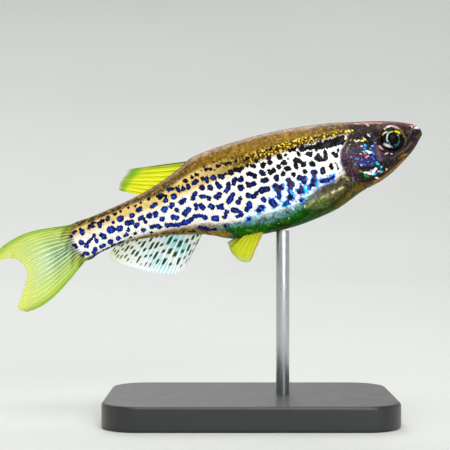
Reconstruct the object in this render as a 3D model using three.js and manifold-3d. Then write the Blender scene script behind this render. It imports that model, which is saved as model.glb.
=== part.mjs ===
// A life-size leopard danio, the spotted form of the zebra danio, swimming nose-up on a small display stand.
// Units are millimetres, +Z is up and the fish heads along +X. The origin is the centre of the base's underside.
import * as THREE from "three";
import { mergeVertices } from "three/addons/utils/BufferGeometryUtils.js";
import Module from "manifold-3d";

const wasm = await Module();
wasm.setup();

// Driving dimensions. Inside the fish, a station is the distance back from the tip of the jaw along the
// body's axis, and a height is measured square to that axis. The standard length runs from the jaw tip to the
// root of the tail fin, and the skin reaches a little way into that fin.
const STANDARD_LENGTH = 36;
const TAIL_OVERLAP = 1;
const PITCH = THREE.MathUtils.degToRad(18.1);
const JAW_TIP = new THREE.Vector3(16.8, 0, 28.1);
const GAP = 0.3;

// How the outline runs, as [station, height] or [station, half width].
const BACK = [
  [0, 0.1], [0.08, 0.34], [0.3, 0.6], [1, 1.12], [2.6, 1.86], [4.5, 2.5], [6.4, 3.02], [8.3, 3.54], [10.2, 3.92],
  [13.1, 4.38], [16.2, 4.65], [19.5, 4.74], [22.1, 4.57], [23.7, 3.9], [25.9, 3.17], [28.1, 2.68], [31.3, 2.27],
  [34, 2.06], [36, 2.1], [37, 2.15],
];
const BELLY = [
  [0, -0.28], [0.1, -0.42], [0.3, -0.6], [1.1, -1.35], [1.8, -1.84], [3, -2.5], [4.2, -3.07], [5.4, -3.45],
  [6.5, -3.65], [7.6, -3.88], [9, -4.35], [10.3, -4.72], [12.2, -4.95], [14.2, -5.06], [16.2, -4.97],
  [18.2, -4.76], [20.2, -4.48], [21.6, -3.96], [22.8, -3.24], [24.7, -2.6], [26.6, -2.05], [28.5, -1.67],
  [30.8, -1.38], [33, -1.5], [35.2, -1.88], [37, -2.1],
];
const HALF_WIDTH = [
  [0, 0.36], [0.1, 0.52], [0.4, 0.82], [1, 1.16], [2, 1.55], [3.1, 1.83], [4.5, 2.03], [6.5, 2.17], [9, 2.33],
  [12.5, 2.45], [16.5, 2.4], [20, 2.18], [24, 1.78], [28, 1.32], [32, 0.88], [35, 0.56], [37, 0.42],
];
// The height at which each section is widest.
const WIDEST = [[0, -0.05], [2, 0.1], [5, -0.2], [9, -0.35], [14, -0.35], [20, 0.1], [26, 0.35], [37, 0.1]];
const SECTION_POWER = 2.25;
const BODY_END = STANDARD_LENGTH + TAIL_OVERLAP;
const RING_SIDES = 28;
const RINGS = 46;
const HEAD_RING_SHARE = 1.35;

// Where the body is parted, from the top down, as [station, height].
const MOUTH_LINE = [
  [0.3, 1.6], [0.5, 0.75], [0.78, 0.25], [1.12, -0.3], [1.55, -0.85], [2.2, -1.5], [3.1, -2.7], [3.3, -4],
];
const GILL_LINE = [
  [7, 6], [7.05, 3], [7.2, 1.7], [7.8, 1.1], [8.4, 0.4], [8.65, -0.6], [8.45, -1.6], [7.9, -2.5], [7.05, -3.2],
  [6.45, -4.2], [6.25, -6],
];
const WAIST_LINE = [[20.6, 7], [20.6, 0], [20.6, -7]];
const STALK_LINE = [[31.7, 7], [31.7, 0], [31.7, -7]];
const TAIL_FIN_LINE = [
  [35.8, 5], [35.95, 2.1], [36.5, 1.35], [36.7, 0.4], [36.55, -0.5], [36.1, -1.3], [35.3, -1.95], [34.9, -5],
];

// The gill cover is a plate let into the side of the head, a little proud of the skin.
const COVER_EDGE = [
  [7.4, 1.25], [6.4, 1.45], [5.65, 1.15], [5.3, 0.35], [5.25, -0.65], [5.1, -1.5], [4.8, -2.15], [5.1, -2.8],
  [6, -3.1], [7.2, -3.35], [9, -3], [10, -1], [9, 1],
];
const COVER_PROUD = 0.1;
const COVER_THICK = 0.55;
const COVER_FROM_MIDDLE = 0.5;
const POCKET_OPENING = 1;

const EYE = {
  station: 3.22, height: 0.1, y: 1.56, radius: 1.1, depth: 0.64, turn: THREE.MathUtils.degToRad(11),
};
const SOCKET_GAP = 0.25;
const NOSTRIL = { station: 1.5, height: 0.78, radius: 0.2, spacing: 0.34, rise: 0.12 };
const LIP = { radius: 0.16, top: 0.62, to: 1.5, set: 0.2, depth: 0.04, steps: 16, sides: 6 };

// Fins. A root or margin runs from the first ray to the last, as [station, height]. Rays near the first bulge
// outwards by the bow, most a little past their middle.
const MEMBRANE = 0.5;
const TIP_THICKNESS = 0.3;
const RAY_RISE = 0.13;
const RAY_SHARE = 0.42;
const RAY_FADE = 0.6;
const BOW_SKEW = 1.2;
const DORSAL = {
  rays: 9, rows: 6, root: [[22, 4.25], [24.9, 3.1], [27.5, 2.3]],
  margin: [[28.25, 5.35], [29.2, 4.8], [29.7, 4.25], [29.95, 3.7]], bow: 0, wave: 0.25,
};
const ANAL = {
  rays: 13, rows: 6, root: [[23.1, -2.5], [27.3, -1.4], [31.2, -0.95]],
  margin: [[26.1, -5.5], [27.3, -5.85], [29.4, -5], [30.6, -4.25], [31.8, -3.4], [32.6, -2.7], [32.85, -2.05]],
  bow: 0.12, wave: -0.25,
};
const TAIL_UPPER = {
  rays: 9, rows: 8, root: [[35.3, 1.95], [35.7, 1], [35.9, 0.12]],
  margin: [[45.1, 0.86], [43.4, 0.85], [42.2, 0.66], [41.4, 0], [41.05, -0.87]], bow: -1.15, wave: 0.7,
};
const TAIL_LOWER = {
  rays: 9, rows: 8, root: [[34.8, -1.6], [35.4, -1], [35.9, -0.2]],
  margin: [[42.3, -4.85], [43.05, -4.2], [42.3, -3.05], [41.5, -2], [41.1, -1.21]], bow: 0.95, wave: 0.7,
};
const PELVIC = {
  rays: 7, rows: 4, root: [[17.7, -4.5], [18.5, -4.4], [19.2, -4.3]],
  margin: [[19.55, -6.65], [20.15, -7.05], [21.05, -6.35], [21.4, -5.2]], bow: 0.32,
};
const PELVIC_SEAT = { y: 0.75, roll: THREE.MathUtils.degToRad(20) };
const PELVIC_SWING = { right: 0, left: THREE.MathUtils.degToRad(11) };
const PECTORAL = {
  rays: 9, rows: 5, root: [[8.1, -1.9], [8.15, -2.35], [8.2, -2.8]],
  margin: [[13.1, -2.45], [13.35, -3.1], [12.8, -3.7], [11.6, -4]], bow: 0.1, lift: 1,
};
const PECTORAL_SEAT = { y: 1.75, roll: THREE.MathUtils.degToRad(-20), yaw: THREE.MathUtils.degToRad(4) };

// Barbels hang from the snout and from the corners of the mouth.
const BARBEL_ROOT = 0.25;
const BARBEL_TIP = 0.1;
const SNOUT_BARBEL = [[1, 0.45, 1.1], [1.35, 0.1, 1.65], [1.95, -0.35, 2.05]];
const MOUTH_BARBEL = [[1.5, -0.75, 1.75], [2.3, -1.2, 2.25], [3.3, -1.5, 2.55], [4.2, -1.7, 2.75]];

const BASE = { length: 28, width: 18, height: 2.4, corner: 3.5, bevel: 0.3 };
const ROD = { x: 3.2, radius: 0.65, sides: 20 };

// A smooth curve with no overshoot through rising [x, y] pairs: cubic pieces whose slopes are the harmonic
// means of their neighbours'.
function curveThrough(pairs) {
  const slopes = pairs.slice(1).map(([x, y], i) => (y - pairs[i][1]) / (x - pairs[i][0]));
  const tangents = pairs.map((_, i) => {
    const before = slopes[i - 1] ?? slopes[i];
    const after = slopes[i] ?? before;
    return before * after > 0 ? (2 * before * after) / (before + after) : 0;
  });
  const pieceAt = (x) => {
    const next = pairs.findIndex(([end]) => end > x);
    return next < 0 ? pairs.length - 2 : Math.max(0, next - 1);
  };
  return (x) => {
    const i = pieceAt(x);
    const [x0, y0] = pairs[i];
    const [x1, y1] = pairs[i + 1];
    const width = x1 - x0;
    const t = THREE.MathUtils.clamp((x - x0) / width, 0, 1);
    const rise = y1 - y0;
    const a = tangents[i] * width - rise;
    const b = rise - tangents[i + 1] * width;
    return y0 + t * rise + t * (1 - t) * (a * (1 - t) + b * t);
  };
}

const backAt = curveThrough(BACK);
const bellyAt = curveThrough(BELLY);
const halfWidthAt = curveThrough(HALF_WIDTH);
const widestAt = curveThrough(WIDEST);

const rounded = (v) => Math.sign(v) * Math.abs(v) ** (2 / SECTION_POWER);

// The skin's point at a station and an angle from the back, grown outwards by a margin.
function skinPoint(station, angle, grow = 0, share = 1) {
  const widest = widestAt(station);
  const up = Math.cos(angle);
  const reach = up > 0 ? backAt(station) - widest : widest - bellyAt(station);
  const y = share * (halfWidthAt(station) + grow) * rounded(Math.sin(angle));
  const z = widest + share * (reach + grow) * rounded(up);
  return new THREE.Vector3(-station, y, z);
}

// How far the skin stands from the middle plane at a station and a height.
function skinWidth(station, height) {
  const widest = widestAt(station);
  const reach = height > widest ? backAt(station) - widest : widest - bellyAt(station);
  const up = Math.min(1, Math.abs(height - widest) / reach);
  return halfWidthAt(station) * (1 - up ** SECTION_POWER) ** (1 / SECTION_POWER);
}

function mapVertices(geometry, place) {
  const position = geometry.attributes.position;
  const p = new THREE.Vector3();
  for (let i = 0; i < position.count; i++) {
    position.setXYZ(i, ...place(p.fromBufferAttribute(position, i)).toArray());
  }
  return geometry;
}

// A closed geometry as a solid that can be cut and joined, its faces turned outwards.
function solid(geometry) {
  const bare = geometry.clone();
  bare.deleteAttribute("normal");
  bare.deleteAttribute("uv");
  const merged = mergeVertices(bare, 1e-5);
  const vertProperties = merged.attributes.position.array;
  const triVerts = new Uint32Array(merged.index.array);
  const made = new wasm.Manifold(new wasm.Mesh({ numProp: 3, vertProperties, triVerts }));
  if (made.volume() > 0) return made;
  for (let i = 0; i < triVerts.length; i += 3) {
    [triVerts[i], triVerts[i + 1]] = [triVerts[i + 1], triVerts[i]];
  }
  return new wasm.Manifold(new wasm.Mesh({ numProp: 3, vertProperties, triVerts }));
}

// The largest closed surface of a solid, which drops loose scraps.
function largest(shape) {
  return shape.decompose().sort((a, b) => b.volume() - a.volume())[0];
}

function geometryOf(shape) {
  const mesh = shape.getMesh();
  const geometry = new THREE.BufferGeometry();
  geometry.setAttribute("position", new THREE.BufferAttribute(mesh.vertProperties, 3));
  geometry.setIndex(new THREE.BufferAttribute(mesh.triVerts, 1));
  geometry.computeVertexNormals();
  return geometry;
}

// The whole body, from the jaw to just inside the tail fin, as rings round the axis. Rings are closer on the
// head.
function wholeBody(grow = 0) {
  const drum = new THREE.CylinderGeometry(1, 1, 1, RING_SIDES, RINGS);
  return solid(mapVertices(drum, (p) => {
    const station = BODY_END * (0.5 - p.y) ** HEAD_RING_SHARE;
    const point = skinPoint(station, Math.atan2(p.z, p.x), grow, Math.hypot(p.x, p.z) > 0.5 ? 1 : 0);
    point.x += grow * (p.y > 0.499 ? 1 : 0);
    return point;
  }));
}

// A line of points through a few [station, height] pairs, moved towards the head by a margin.
function smoothLine(pairs, margin = 0, steps = 14) {
  const curve = new THREE.SplineCurve(pairs.map(([station, height]) => new THREE.Vector2(-station, height)));
  return Array.from({ length: steps + 1 }, (_, i) => {
    const along = curve.getTangent(i / steps);
    return curve.getPoint(i / steps).add(new THREE.Vector2(-along.y, along.x).multiplyScalar(margin));
  });
}

// A side-view outline extruded across the fish, between two distances from the middle plane.
function slabOf(points, right, left) {
  const shape = new THREE.Shape(points);
  const slab = new THREE.ExtrudeGeometry(shape, { depth: left - right, bevelEnabled: false });
  return solid(slab.rotateX(Math.PI / 2).translate(0, left, 0));
}

const FAR = 12;

// Everything ahead of a line that runs from above the back to below the belly.
function ahead(line, margin = 0) {
  const edge = smoothLine(line, margin);
  const front = [new THREE.Vector2(FAR, edge.at(-1).y), new THREE.Vector2(FAR, edge[0].y)];
  return slabOf([...edge, ...front], -FAR, FAR);
}

// A fin in the middle plane: a membrane from root to margin, with a ridge on both faces along each ray.
function finGeometry({ rays, rows, root, margin, bow, wave = 0, lift = 0 }) {
  const toPoint = ([station, height]) => new THREE.Vector2(-station, height);
  const rootLine = new THREE.SplineCurve(root.map(toPoint));
  const marginLine = new THREE.SplineCurve(margin.map(toPoint));
  const pitch = 1 / (rays - 1);
  const columns = Array.from({ length: rays }, (_, i) => [-0.5, 0, 0.5].map((side) => ({
    u: (i + side * RAY_SHARE) * pitch, ridge: side === 0 ? 1 : 0,
  }))).flat().slice(1, -1);
  const slab = new THREE.BoxGeometry(1, 1, 1, columns.length - 1, rows, 1);
  // The far face's squares are split along the same diagonal as the near face's.
  const [farFace] = slab.groups.slice(-1);
  for (let i = farFace.start; i < farFace.start + farFace.count; i += 6) {
    const [a, b, d, , c] = slab.index.array.slice(i, i + 6);
    slab.index.array.set([a, b, c, a, c, d], i);
  }
  return mapVertices(slab, (p) => {
    const { u, ridge } = columns[Math.round((p.x + 0.5) * (columns.length - 1))];
    const v = 0.5 - p.y;
    const from = rootLine.getPoint(u);
    const along = marginLine.getPoint(u).sub(from);
    const across = new THREE.Vector2(along.y, -along.x).normalize();
    const bulge = bow * Math.sin(Math.PI * v ** BOW_SKEW) * (1 - u);
    const at = from.addScaledVector(along, v).addScaledVector(across, -bulge);
    const membrane = THREE.MathUtils.lerp(MEMBRANE, TIP_THICKNESS, v ** 4);
    const half = membrane / 2 + ridge * RAY_RISE * (1 - RAY_FADE * v);
    const aside = wave * v ** 2 + lift * (1 - (1 - v) ** 3);
    return new THREE.Vector3(at.x, aside + Math.sign(p.z) * half, at.y);
  });
}

// A paired fin swings about the front of its root: rolled out from the belly or turned out from the flank.
function pairedFin(spec, side, { y, roll = 0, yaw = 0 }, swing = 0) {
  const [station, height] = spec.root[0];
  const hinge = new THREE.Matrix4().makeTranslation(-station, y, height);
  const turn = new THREE.Matrix4().makeRotationFromEuler(new THREE.Euler(roll, swing, -yaw, "ZXY"));
  const place = hinge.multiply(turn).multiply(new THREE.Matrix4().makeTranslation(station, 0, -height));
  return finGeometry(spec).applyMatrix4(place).applyMatrix4(new THREE.Matrix4().makeScale(1, side, 1));
}

// A tapered feeler through a few [station, height, distance from the middle] points.
function barbelGeometry(points, side) {
  const places = points.map(([station, height, y]) => new THREE.Vector3(-station, side * y, height));
  const curve = new THREE.CatmullRomCurve3(places);
  const ring = new THREE.Shape().absarc(0, 0, 1, 0, 2 * Math.PI);
  const steps = 7;
  const settings = { steps, curveSegments: 4, bevelEnabled: false, extrudePath: curve };
  const path = new THREE.ExtrudeGeometry(ring, settings);
  const centres = Array.from({ length: steps + 1 }, (_, i) => curve.getPointAt(i / steps));
  return mapVertices(path, (p) => {
    const i = centres.reduce((best, c, j) => (c.distanceTo(p) < centres[best].distanceTo(p) ? j : best), 0);
    const radius = THREE.MathUtils.lerp(BARBEL_ROOT, BARBEL_TIP, i / steps);
    return p.sub(centres[i]).multiplyScalar(radius).add(centres[i]);
  });
}

// A lip: a bead that follows the mouth line over the skin, round the front of the snout.
function lipBead(offset) {
  const line = smoothLine(MOUTH_LINE, offset, 40).filter((p) => p.y < LIP.top && -p.x < LIP.to);
  const reach = (p) => skinWidth(-p.x, p.y) - LIP.depth;
  const sideOf = (side) => line.map((p) => new THREE.Vector3(p.x, side * reach(p), p.y));
  const path = new THREE.CatmullRomCurve3([...sideOf(1).reverse(), ...sideOf(-1)]);
  const ring = new THREE.Shape().absarc(0, 0, LIP.radius, 0, 2 * Math.PI);
  const settings = { steps: LIP.steps, curveSegments: LIP.sides / 2, bevelEnabled: false, extrudePath: path };
  return solid(new THREE.ExtrudeGeometry(ring, settings));
}

function eyeGeometry(grow = 0) {
  const ball = new THREE.SphereGeometry(1, 20, 12);
  return ball.rotateX(Math.PI / 2).scale(EYE.radius + grow, EYE.depth + grow, EYE.radius + grow);
}

const eyePlace = (side) => new THREE.Matrix4()
  .makeTranslation(-EYE.station, side * EYE.y, EYE.height)
  .multiply(new THREE.Matrix4().makeRotationZ(-side * EYE.turn));

// The pieces of the body, cut from one whole.
const SIDES = { right: -1, left: 1 };
const body = wholeBody();
const clearance = wholeBody(GAP);
const aheadOfGills = ahead(GILL_LINE);
const behind = (line) => (shape) => shape.subtract(ahead(line, -GAP));

function coverSlab(side, margin = 0) {
  const edge = smoothLine([...COVER_EDGE, COVER_EDGE[0]], margin, 24).slice(0, -1);
  const [right, left] = [side * COVER_FROM_MIDDLE, side * FAR].sort((a, b) => a - b);
  return slabOf(edge, right, left);
}

const coverShell = wholeBody(COVER_PROUD).subtract(wholeBody(COVER_PROUD - COVER_THICK));
const coverPocket = wholeBody(POCKET_OPENING).subtract(wholeBody(COVER_PROUD - COVER_THICK - GAP));

function nostrils(side) {
  const ball = new THREE.SphereGeometry(NOSTRIL.radius, 8, 6);
  return [0, 1].map((i) => {
    const station = NOSTRIL.station + i * NOSTRIL.spacing;
    const height = NOSTRIL.height + i * NOSTRIL.rise;
    return solid(ball.clone().translate(-station, side * skinWidth(station, height), height));
  });
}

function headSolid() {
  let head = body.intersect(aheadOfGills).add(lipBead(-LIP.set - GAP));
  head = behind(MOUTH_LINE)(head);
  for (const side of Object.values(SIDES)) {
    const cuts = [
      solid(eyeGeometry(SOCKET_GAP).applyMatrix4(eyePlace(side))),
      coverPocket.intersect(coverSlab(side, GAP)),
      ...nostrils(side),
    ];
    for (const cut of cuts) head = head.subtract(cut);
  }
  return head;
}

const jawSolid = () => body.add(lipBead(LIP.set)).intersect(ahead(MOUTH_LINE));
const coverSolid = (side) => coverShell.intersect(coverSlab(side)).intersect(aheadOfGills);
const clearOfBody = (geometry) => solid(geometry).subtract(clearance);
const tailFinSolid = (spec) => behind(TAIL_FIN_LINE)(solid(finGeometry(spec)));

// Materials.
const material = (color, roughness, metalness = 0, more = {}) =>
  new THREE.MeshStandardMaterial({ color, roughness, metalness, ...more });
const FLANK = material(0xd8d2c0, 0.35, 0.3);
const HEAD_SKIN = material(0x4a3a2e, 0.4, 0.2);
const COVER_SKIN = material(0x4f5a78, 0.3, 0.4);
const YELLOW_FIN = material(0xc9d62e, 0.45, 0, { transparent: true, opacity: 0.8 });
const SILVER_FIN = material(0xcfeee8, 0.35, 0.1, { transparent: true, opacity: 0.85 });
const CLEAR_FIN = material(0xd6d2a0, 0.4, 0, { transparent: true, opacity: 0.7 });
const EYE_BALL = material(0x14140f, 0.1);
const BLACK_BASE = material(0x1b1c1e, 0.35);
const STEEL_ROD = material(0xb9bcc0, 0.3, 1);

const fish = new THREE.Group();
fish.position.copy(JAW_TIP);
fish.rotation.y = -PITCH;

function addNode(group, name, geometry, nodeMaterial) {
  const mesh = new THREE.Mesh(geometry, nodeMaterial);
  mesh.name = name;
  group.add(mesh);
  return mesh;
}

const addSolid = (name, shape, nodeMaterial) => addNode(fish, name, geometryOf(largest(shape)), nodeMaterial);

addSolid("head", headSolid(), HEAD_SKIN);
addSolid("lower_jaw", jawSolid(), HEAD_SKIN);
addSolid("trunk_front", behind(GILL_LINE)(body).intersect(ahead(WAIST_LINE)), FLANK);
addSolid("trunk_rear", behind(WAIST_LINE)(body).intersect(ahead(STALK_LINE)), FLANK);
addSolid("tail_stalk", behind(STALK_LINE)(body).intersect(ahead(TAIL_FIN_LINE)), FLANK);
addSolid("dorsal_fin", clearOfBody(finGeometry(DORSAL)), YELLOW_FIN);
addSolid("anal_fin", clearOfBody(finGeometry(ANAL)), SILVER_FIN);
addSolid("caudal_fin_upper", tailFinSolid(TAIL_UPPER), YELLOW_FIN);
addSolid("caudal_fin_lower", tailFinSolid(TAIL_LOWER), YELLOW_FIN);

for (const [name, side] of Object.entries(SIDES)) {
  addSolid(`gill_cover_${name}`, coverSolid(side), COVER_SKIN);
  addSolid(`pectoral_fin_${name}`, clearOfBody(pairedFin(PECTORAL, side, PECTORAL_SEAT)), CLEAR_FIN);
  const pelvic = pairedFin(PELVIC, side, PELVIC_SEAT, PELVIC_SWING[name]);
  addSolid(`pelvic_fin_${name}`, clearOfBody(pelvic), YELLOW_FIN);
  addSolid(`snout_barbel_${name}`, clearOfBody(barbelGeometry(SNOUT_BARBEL, side)), HEAD_SKIN);
  addSolid(`mouth_barbel_${name}`, clearOfBody(barbelGeometry(MOUTH_BARBEL, side)), HEAD_SKIN);
  const eye = addNode(fish, `eye_${name}`, eyeGeometry(), EYE_BALL);
  eyePlace(side).decompose(eye.position, eye.quaternion, eye.scale);
}

// The stand: a plate with round corners and a bevelled rim, and one rod up to the belly.
function basePlate() {
  const { length, width, corner, bevel, height } = BASE;
  const [x, y] = [length / 2 - bevel, width / 2 - bevel];
  const outline = new THREE.Shape();
  [[1, -1], [1, 1], [-1, 1], [-1, -1]].forEach(([i, j], n) => {
    outline.absarc(i * (x - corner), j * (y - corner), corner, ((n - 1) * Math.PI) / 2, (n * Math.PI) / 2);
  });
  const depth = height - 2 * bevel;
  const settings = { depth, bevelThickness: bevel, bevelSize: bevel, bevelSegments: 1, curveSegments: 6 };
  return new THREE.ExtrudeGeometry(outline, settings).translate(0, 0, bevel);
}

function rodSolid() {
  const foot = BASE.height + GAP;
  const top = JAW_TIP.z;
  const rod = new THREE.CylinderGeometry(ROD.radius, ROD.radius, top - foot, ROD.sides);
  rod.rotateX(Math.PI / 2).translate(ROD.x, 0, (top + foot) / 2);
  fish.updateMatrix();
  const placed = clearance.transform(fish.matrix.elements);
  const pieces = solid(rod).subtract(placed).decompose();
  return pieces.sort((a, b) => a.boundingBox().min[2] - b.boundingBox().min[2])[0];
}

const danio = new THREE.Group();
danio.add(fish);
addNode(danio, "stand_base", basePlate(), BLACK_BASE);
addNode(danio, "stand_rod", geometryOf(rodSolid()), STEEL_ROD);

export default danio;
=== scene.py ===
# %% [markdown]
# # A leopard danio on a display stand
#
# The leopard danio is the spotted form of the zebra danio, a slim aquarium fish about 40 mm long. The
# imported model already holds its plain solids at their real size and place. This lesson dresses them: one
# sculpted skin with a fine relief of scales, wet eyes, rayed fins, thin barbels and a small stand. Each
# step says what the thing is on the real fish, how it could be made, and why it is made this way.

import math

import bmesh
import bpy
import numpy as np
from mathutils import Matrix, Vector


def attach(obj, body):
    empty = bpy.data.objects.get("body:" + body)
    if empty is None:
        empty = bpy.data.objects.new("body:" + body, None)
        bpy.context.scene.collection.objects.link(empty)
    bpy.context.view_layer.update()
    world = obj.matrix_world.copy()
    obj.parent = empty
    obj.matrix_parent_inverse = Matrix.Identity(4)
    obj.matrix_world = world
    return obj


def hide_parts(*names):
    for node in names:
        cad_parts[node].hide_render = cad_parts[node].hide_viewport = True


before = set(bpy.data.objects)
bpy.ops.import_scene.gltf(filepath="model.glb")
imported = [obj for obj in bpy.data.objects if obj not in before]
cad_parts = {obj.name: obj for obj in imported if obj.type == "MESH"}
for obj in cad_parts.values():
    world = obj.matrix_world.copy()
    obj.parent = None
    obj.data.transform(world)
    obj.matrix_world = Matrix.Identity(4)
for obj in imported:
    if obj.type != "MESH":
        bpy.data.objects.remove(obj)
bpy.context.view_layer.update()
print("nodes in the frame:", len(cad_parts))

# %% [markdown]
# ## The camera
#
# The fish is seen from its right side, level with its middle, with a long lens. A long lens keeps the far
# fins close to their true size. The numbers put the jaw and the tail tips where the photograph has them.

# %% Set up the camera
MM = 0.001
VIEWPOINT = Vector((-2.45, -122.4, 18.9)) * MM
LENS = 100
SENSOR = 36

camera_data = bpy.data.cameras.new("camera")
camera_data.lens = LENS
camera_data.sensor_width = SENSOR
camera_data.clip_start = MM
camera = bpy.data.objects.new("camera", camera_data)
camera.location = VIEWPOINT
camera.rotation_euler = (math.radians(90), 0, 0)
bpy.context.collection.objects.link(camera)
bpy.context.scene.camera = camera
print("camera at", [round(c, 4) for c in VIEWPOINT])

# %% [markdown]
# ## Shader maths as plain sums
#
# A finish is a small network of nodes. Wiring each Math node by hand hides the idea, so a value in the
# network is wrapped: adding or multiplying two wrapped values adds the node that does it. A finish is a
# Principled shader. What is the same all over is set on the shader itself, and what varies is fed in.

# %% Wrap a shader value
# A Mix node's sockets for colours: its share, its two colours and its result.
MIX_SHARE, MIX_FIRST, MIX_SECOND, MIX_RESULT = 0, 6, 7, 2


def colour(code):
    """A hex colour as the linear colour that shaders use."""
    parts = [int(code[i:i + 2], 16) / 255 for i in (0, 2, 4)]
    return tuple(((c + 0.055) / 1.055) ** 2.4 if c > 0.04045 else c / 12.92 for c in parts) + (1.0,)


class Value:
    """One value in a finish, ready for sums."""

    def __init__(self, finish, socket):
        self.finish = finish
        self.socket = socket

    def __add__(self, other):
        return self.finish.maths("ADD", self, other)

    def __sub__(self, other):
        return self.finish.maths("SUBTRACT", self, other)

    def __rsub__(self, other):
        return self.finish.maths("SUBTRACT", other, self)

    def __mul__(self, other):
        return self.finish.maths("MULTIPLY", self, other)

    __radd__ = __add__
    __rmul__ = __mul__


class Finish:
    """A material under construction: its nodes, and the mixes and patterns that fish and stand need."""

    def __init__(self, name, **steady):
        self.material = bpy.data.materials.new(name)
        self.material.use_nodes = True
        self.tree = self.material.node_tree
        self.shader = self.tree.nodes["Principled BSDF"]
        for word, value in steady.items():
            self.shader.inputs[word.replace("_", " ")].default_value = value
        place = self.node("ShaderNodeTexCoord", output="Object")
        self.place = self.node("ShaderNodeVectorMath", {"operation": "SCALE"}, {0: place, "Scale": 1 / MM})

    def node(self, kind, settings=None, sockets=None, output=0):
        made = self.tree.nodes.new(kind)
        for name, value in (settings or {}).items():
            setattr(made, name, value)
        for key, value in (sockets or {}).items():
            self.feed(made.inputs[key], value)
        return Value(self, made.outputs[output])

    def feed(self, socket, value):
        if isinstance(value, Value):
            self.tree.links.new(value.socket, socket)
        else:
            socket.default_value = value

    def wear(self, **varying):
        """Feeds varying values into the shader's own sockets."""
        for word, value in varying.items():
            self.feed(self.shader.inputs[word.replace("_", " ")], value)
        return self.material

    def maths(self, operation, first, second):
        return self.node("ShaderNodeMath", {"operation": operation}, {0: first, 1: second})

    def rise(self, value, low, high):
        """0 below low and 1 above high, with a soft slope between."""
        sockets = {"Value": value, "From Min": low, "From Max": high}
        return self.node("ShaderNodeMapRange", {"interpolation_type": "SMOOTHSTEP"}, sockets)

    def mix(self, share, first, second, way="MIX"):
        settings = {"data_type": "RGBA", "blend_type": way}
        sockets = {MIX_SHARE: share, MIX_FIRST: first, MIX_SECOND: second}
        return self.node("ShaderNodeMix", settings, sockets, output=MIX_RESULT)

    def painted(self, name, output="Fac"):
        """A value or colour painted on the mesh."""
        return self.node("ShaderNodeAttribute", {"attribute_name": name}, output=output)

    def clouds(self, size, detail=2.0):
        """Soft noise with features about size millimetres across."""
        sockets = {"Vector": self.place, "Scale": 1 / size, "Detail": detail}
        return self.node("ShaderNodeTexNoise", None, sockets)

    def cells(self, size):
        """Distance to the middle of the nearest of many cells, each about size millimetres across."""
        sockets = {"Vector": self.place, "Scale": 1 / size}
        return self.node("ShaderNodeTexVoronoi", None, sockets, output="Distance")

    def bump(self, height, depth):
        """A surface raised by height times depth millimetres."""
        return self.node("ShaderNodeBump", None, {"Height": height, "Distance": depth * MM}, output="Normal")


print("shader helpers ready")

# %% [markdown]
# ## The studio
#
# The fish is shown on a plain pale floor in soft light. The floor could be a flat plane with a wall behind
# it, but the model is looked at from all round. So the floor is a wide shallow bowl: a profile is spun
# round the vertical, flat under the stand and rising far away, and no side of it hides the fish.

# %% Spin the floor
BOWL_PROFILE = [(0, 0), (150, 0), (230, 4), (300, 24), (360, 70), (395, 140), (410, 240), (415, 700)]
BOWL_STEPS = 96


def mesh_of(shape, name):
    """A finished bmesh as a smooth mesh, with its faces turned to agree. The bmesh is freed."""
    bmesh.ops.recalc_face_normals(shape, faces=shape.faces)
    mesh = bpy.data.meshes.new(name)
    shape.to_mesh(mesh)
    shape.free()
    mesh.shade_smooth()
    return mesh


def places_of(shape):
    """Where the vertices of a bmesh are, as one array."""
    return np.array([v.co for v in shape.verts])


def put(shape, places):
    """Moves each vertex of a bmesh to its own place."""
    for vert, spot in zip(shape.verts, places):
        vert.co = spot


bowl = bmesh.new()
rim = [bowl.verts.new((x * MM, 0, z * MM)) for x, z in BOWL_PROFILE]
edges = [bowl.edges.new(pair) for pair in zip(rim, rim[1:])]
turn = {"axis": (0, 0, 1), "cent": (0, 0, 0), "angle": 2 * math.pi, "steps": BOWL_STEPS, "use_merge": True}
bmesh.ops.spin(bowl, geom=rim + edges, **turn)
bmesh.ops.remove_doubles(bowl, verts=bowl.verts, dist=MM / 100)
floor_mesh = mesh_of(bowl, "floor")
floor = bpy.data.objects.new("floor", floor_mesh)
bpy.context.collection.objects.link(floor)

paper = Finish("pale_paper", Roughness=0.9)
pale = paper.mix(paper.clouds(40), colour("d0d3d2"), colour("cbcecd"))
floor_mesh.materials.append(paper.wear(Base_Color=pale))
print("floor faces:", len(floor_mesh.polygons))

# %% [markdown]
# ## The lines of the fish
#
# A danio's body is a drum of oval rings. Its outline runs through a few places, each a station back from
# the tip of the jaw and a height above the body's axis. A smooth curve with no overshoot joins them, so a
# few numbers hold the whole body. The same lines shaped the solids, so the skin lies just inside them.

# %% Draw the body's lines
BACK = [
    (0, 0.1), (0.08, 0.34), (0.3, 0.6), (1, 1.12), (2.6, 1.86), (4.5, 2.5), (6.4, 3.02), (8.3, 3.54),
    (10.2, 3.92), (13.1, 4.38), (16.2, 4.65), (19.5, 4.74), (22.1, 4.57), (23.7, 3.9), (25.9, 3.17),
    (28.1, 2.68), (31.3, 2.27), (34, 2.06), (36, 2.1), (37, 2.15),
]
BELLY = [
    (0, -0.28), (0.1, -0.42), (0.3, -0.6), (1.1, -1.35), (1.8, -1.84), (3, -2.5), (4.2, -3.07),
    (5.4, -3.45), (6.5, -3.65), (7.6, -3.88), (9, -4.35), (10.3, -4.72), (12.2, -4.95), (14.2, -5.06),
    (16.2, -4.97), (18.2, -4.76), (20.2, -4.48), (21.6, -3.96), (22.8, -3.24), (24.7, -2.6), (26.6, -2.05),
    (28.5, -1.67), (30.8, -1.38), (33, -1.5), (35.2, -1.88), (37, -2.1),
]
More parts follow.
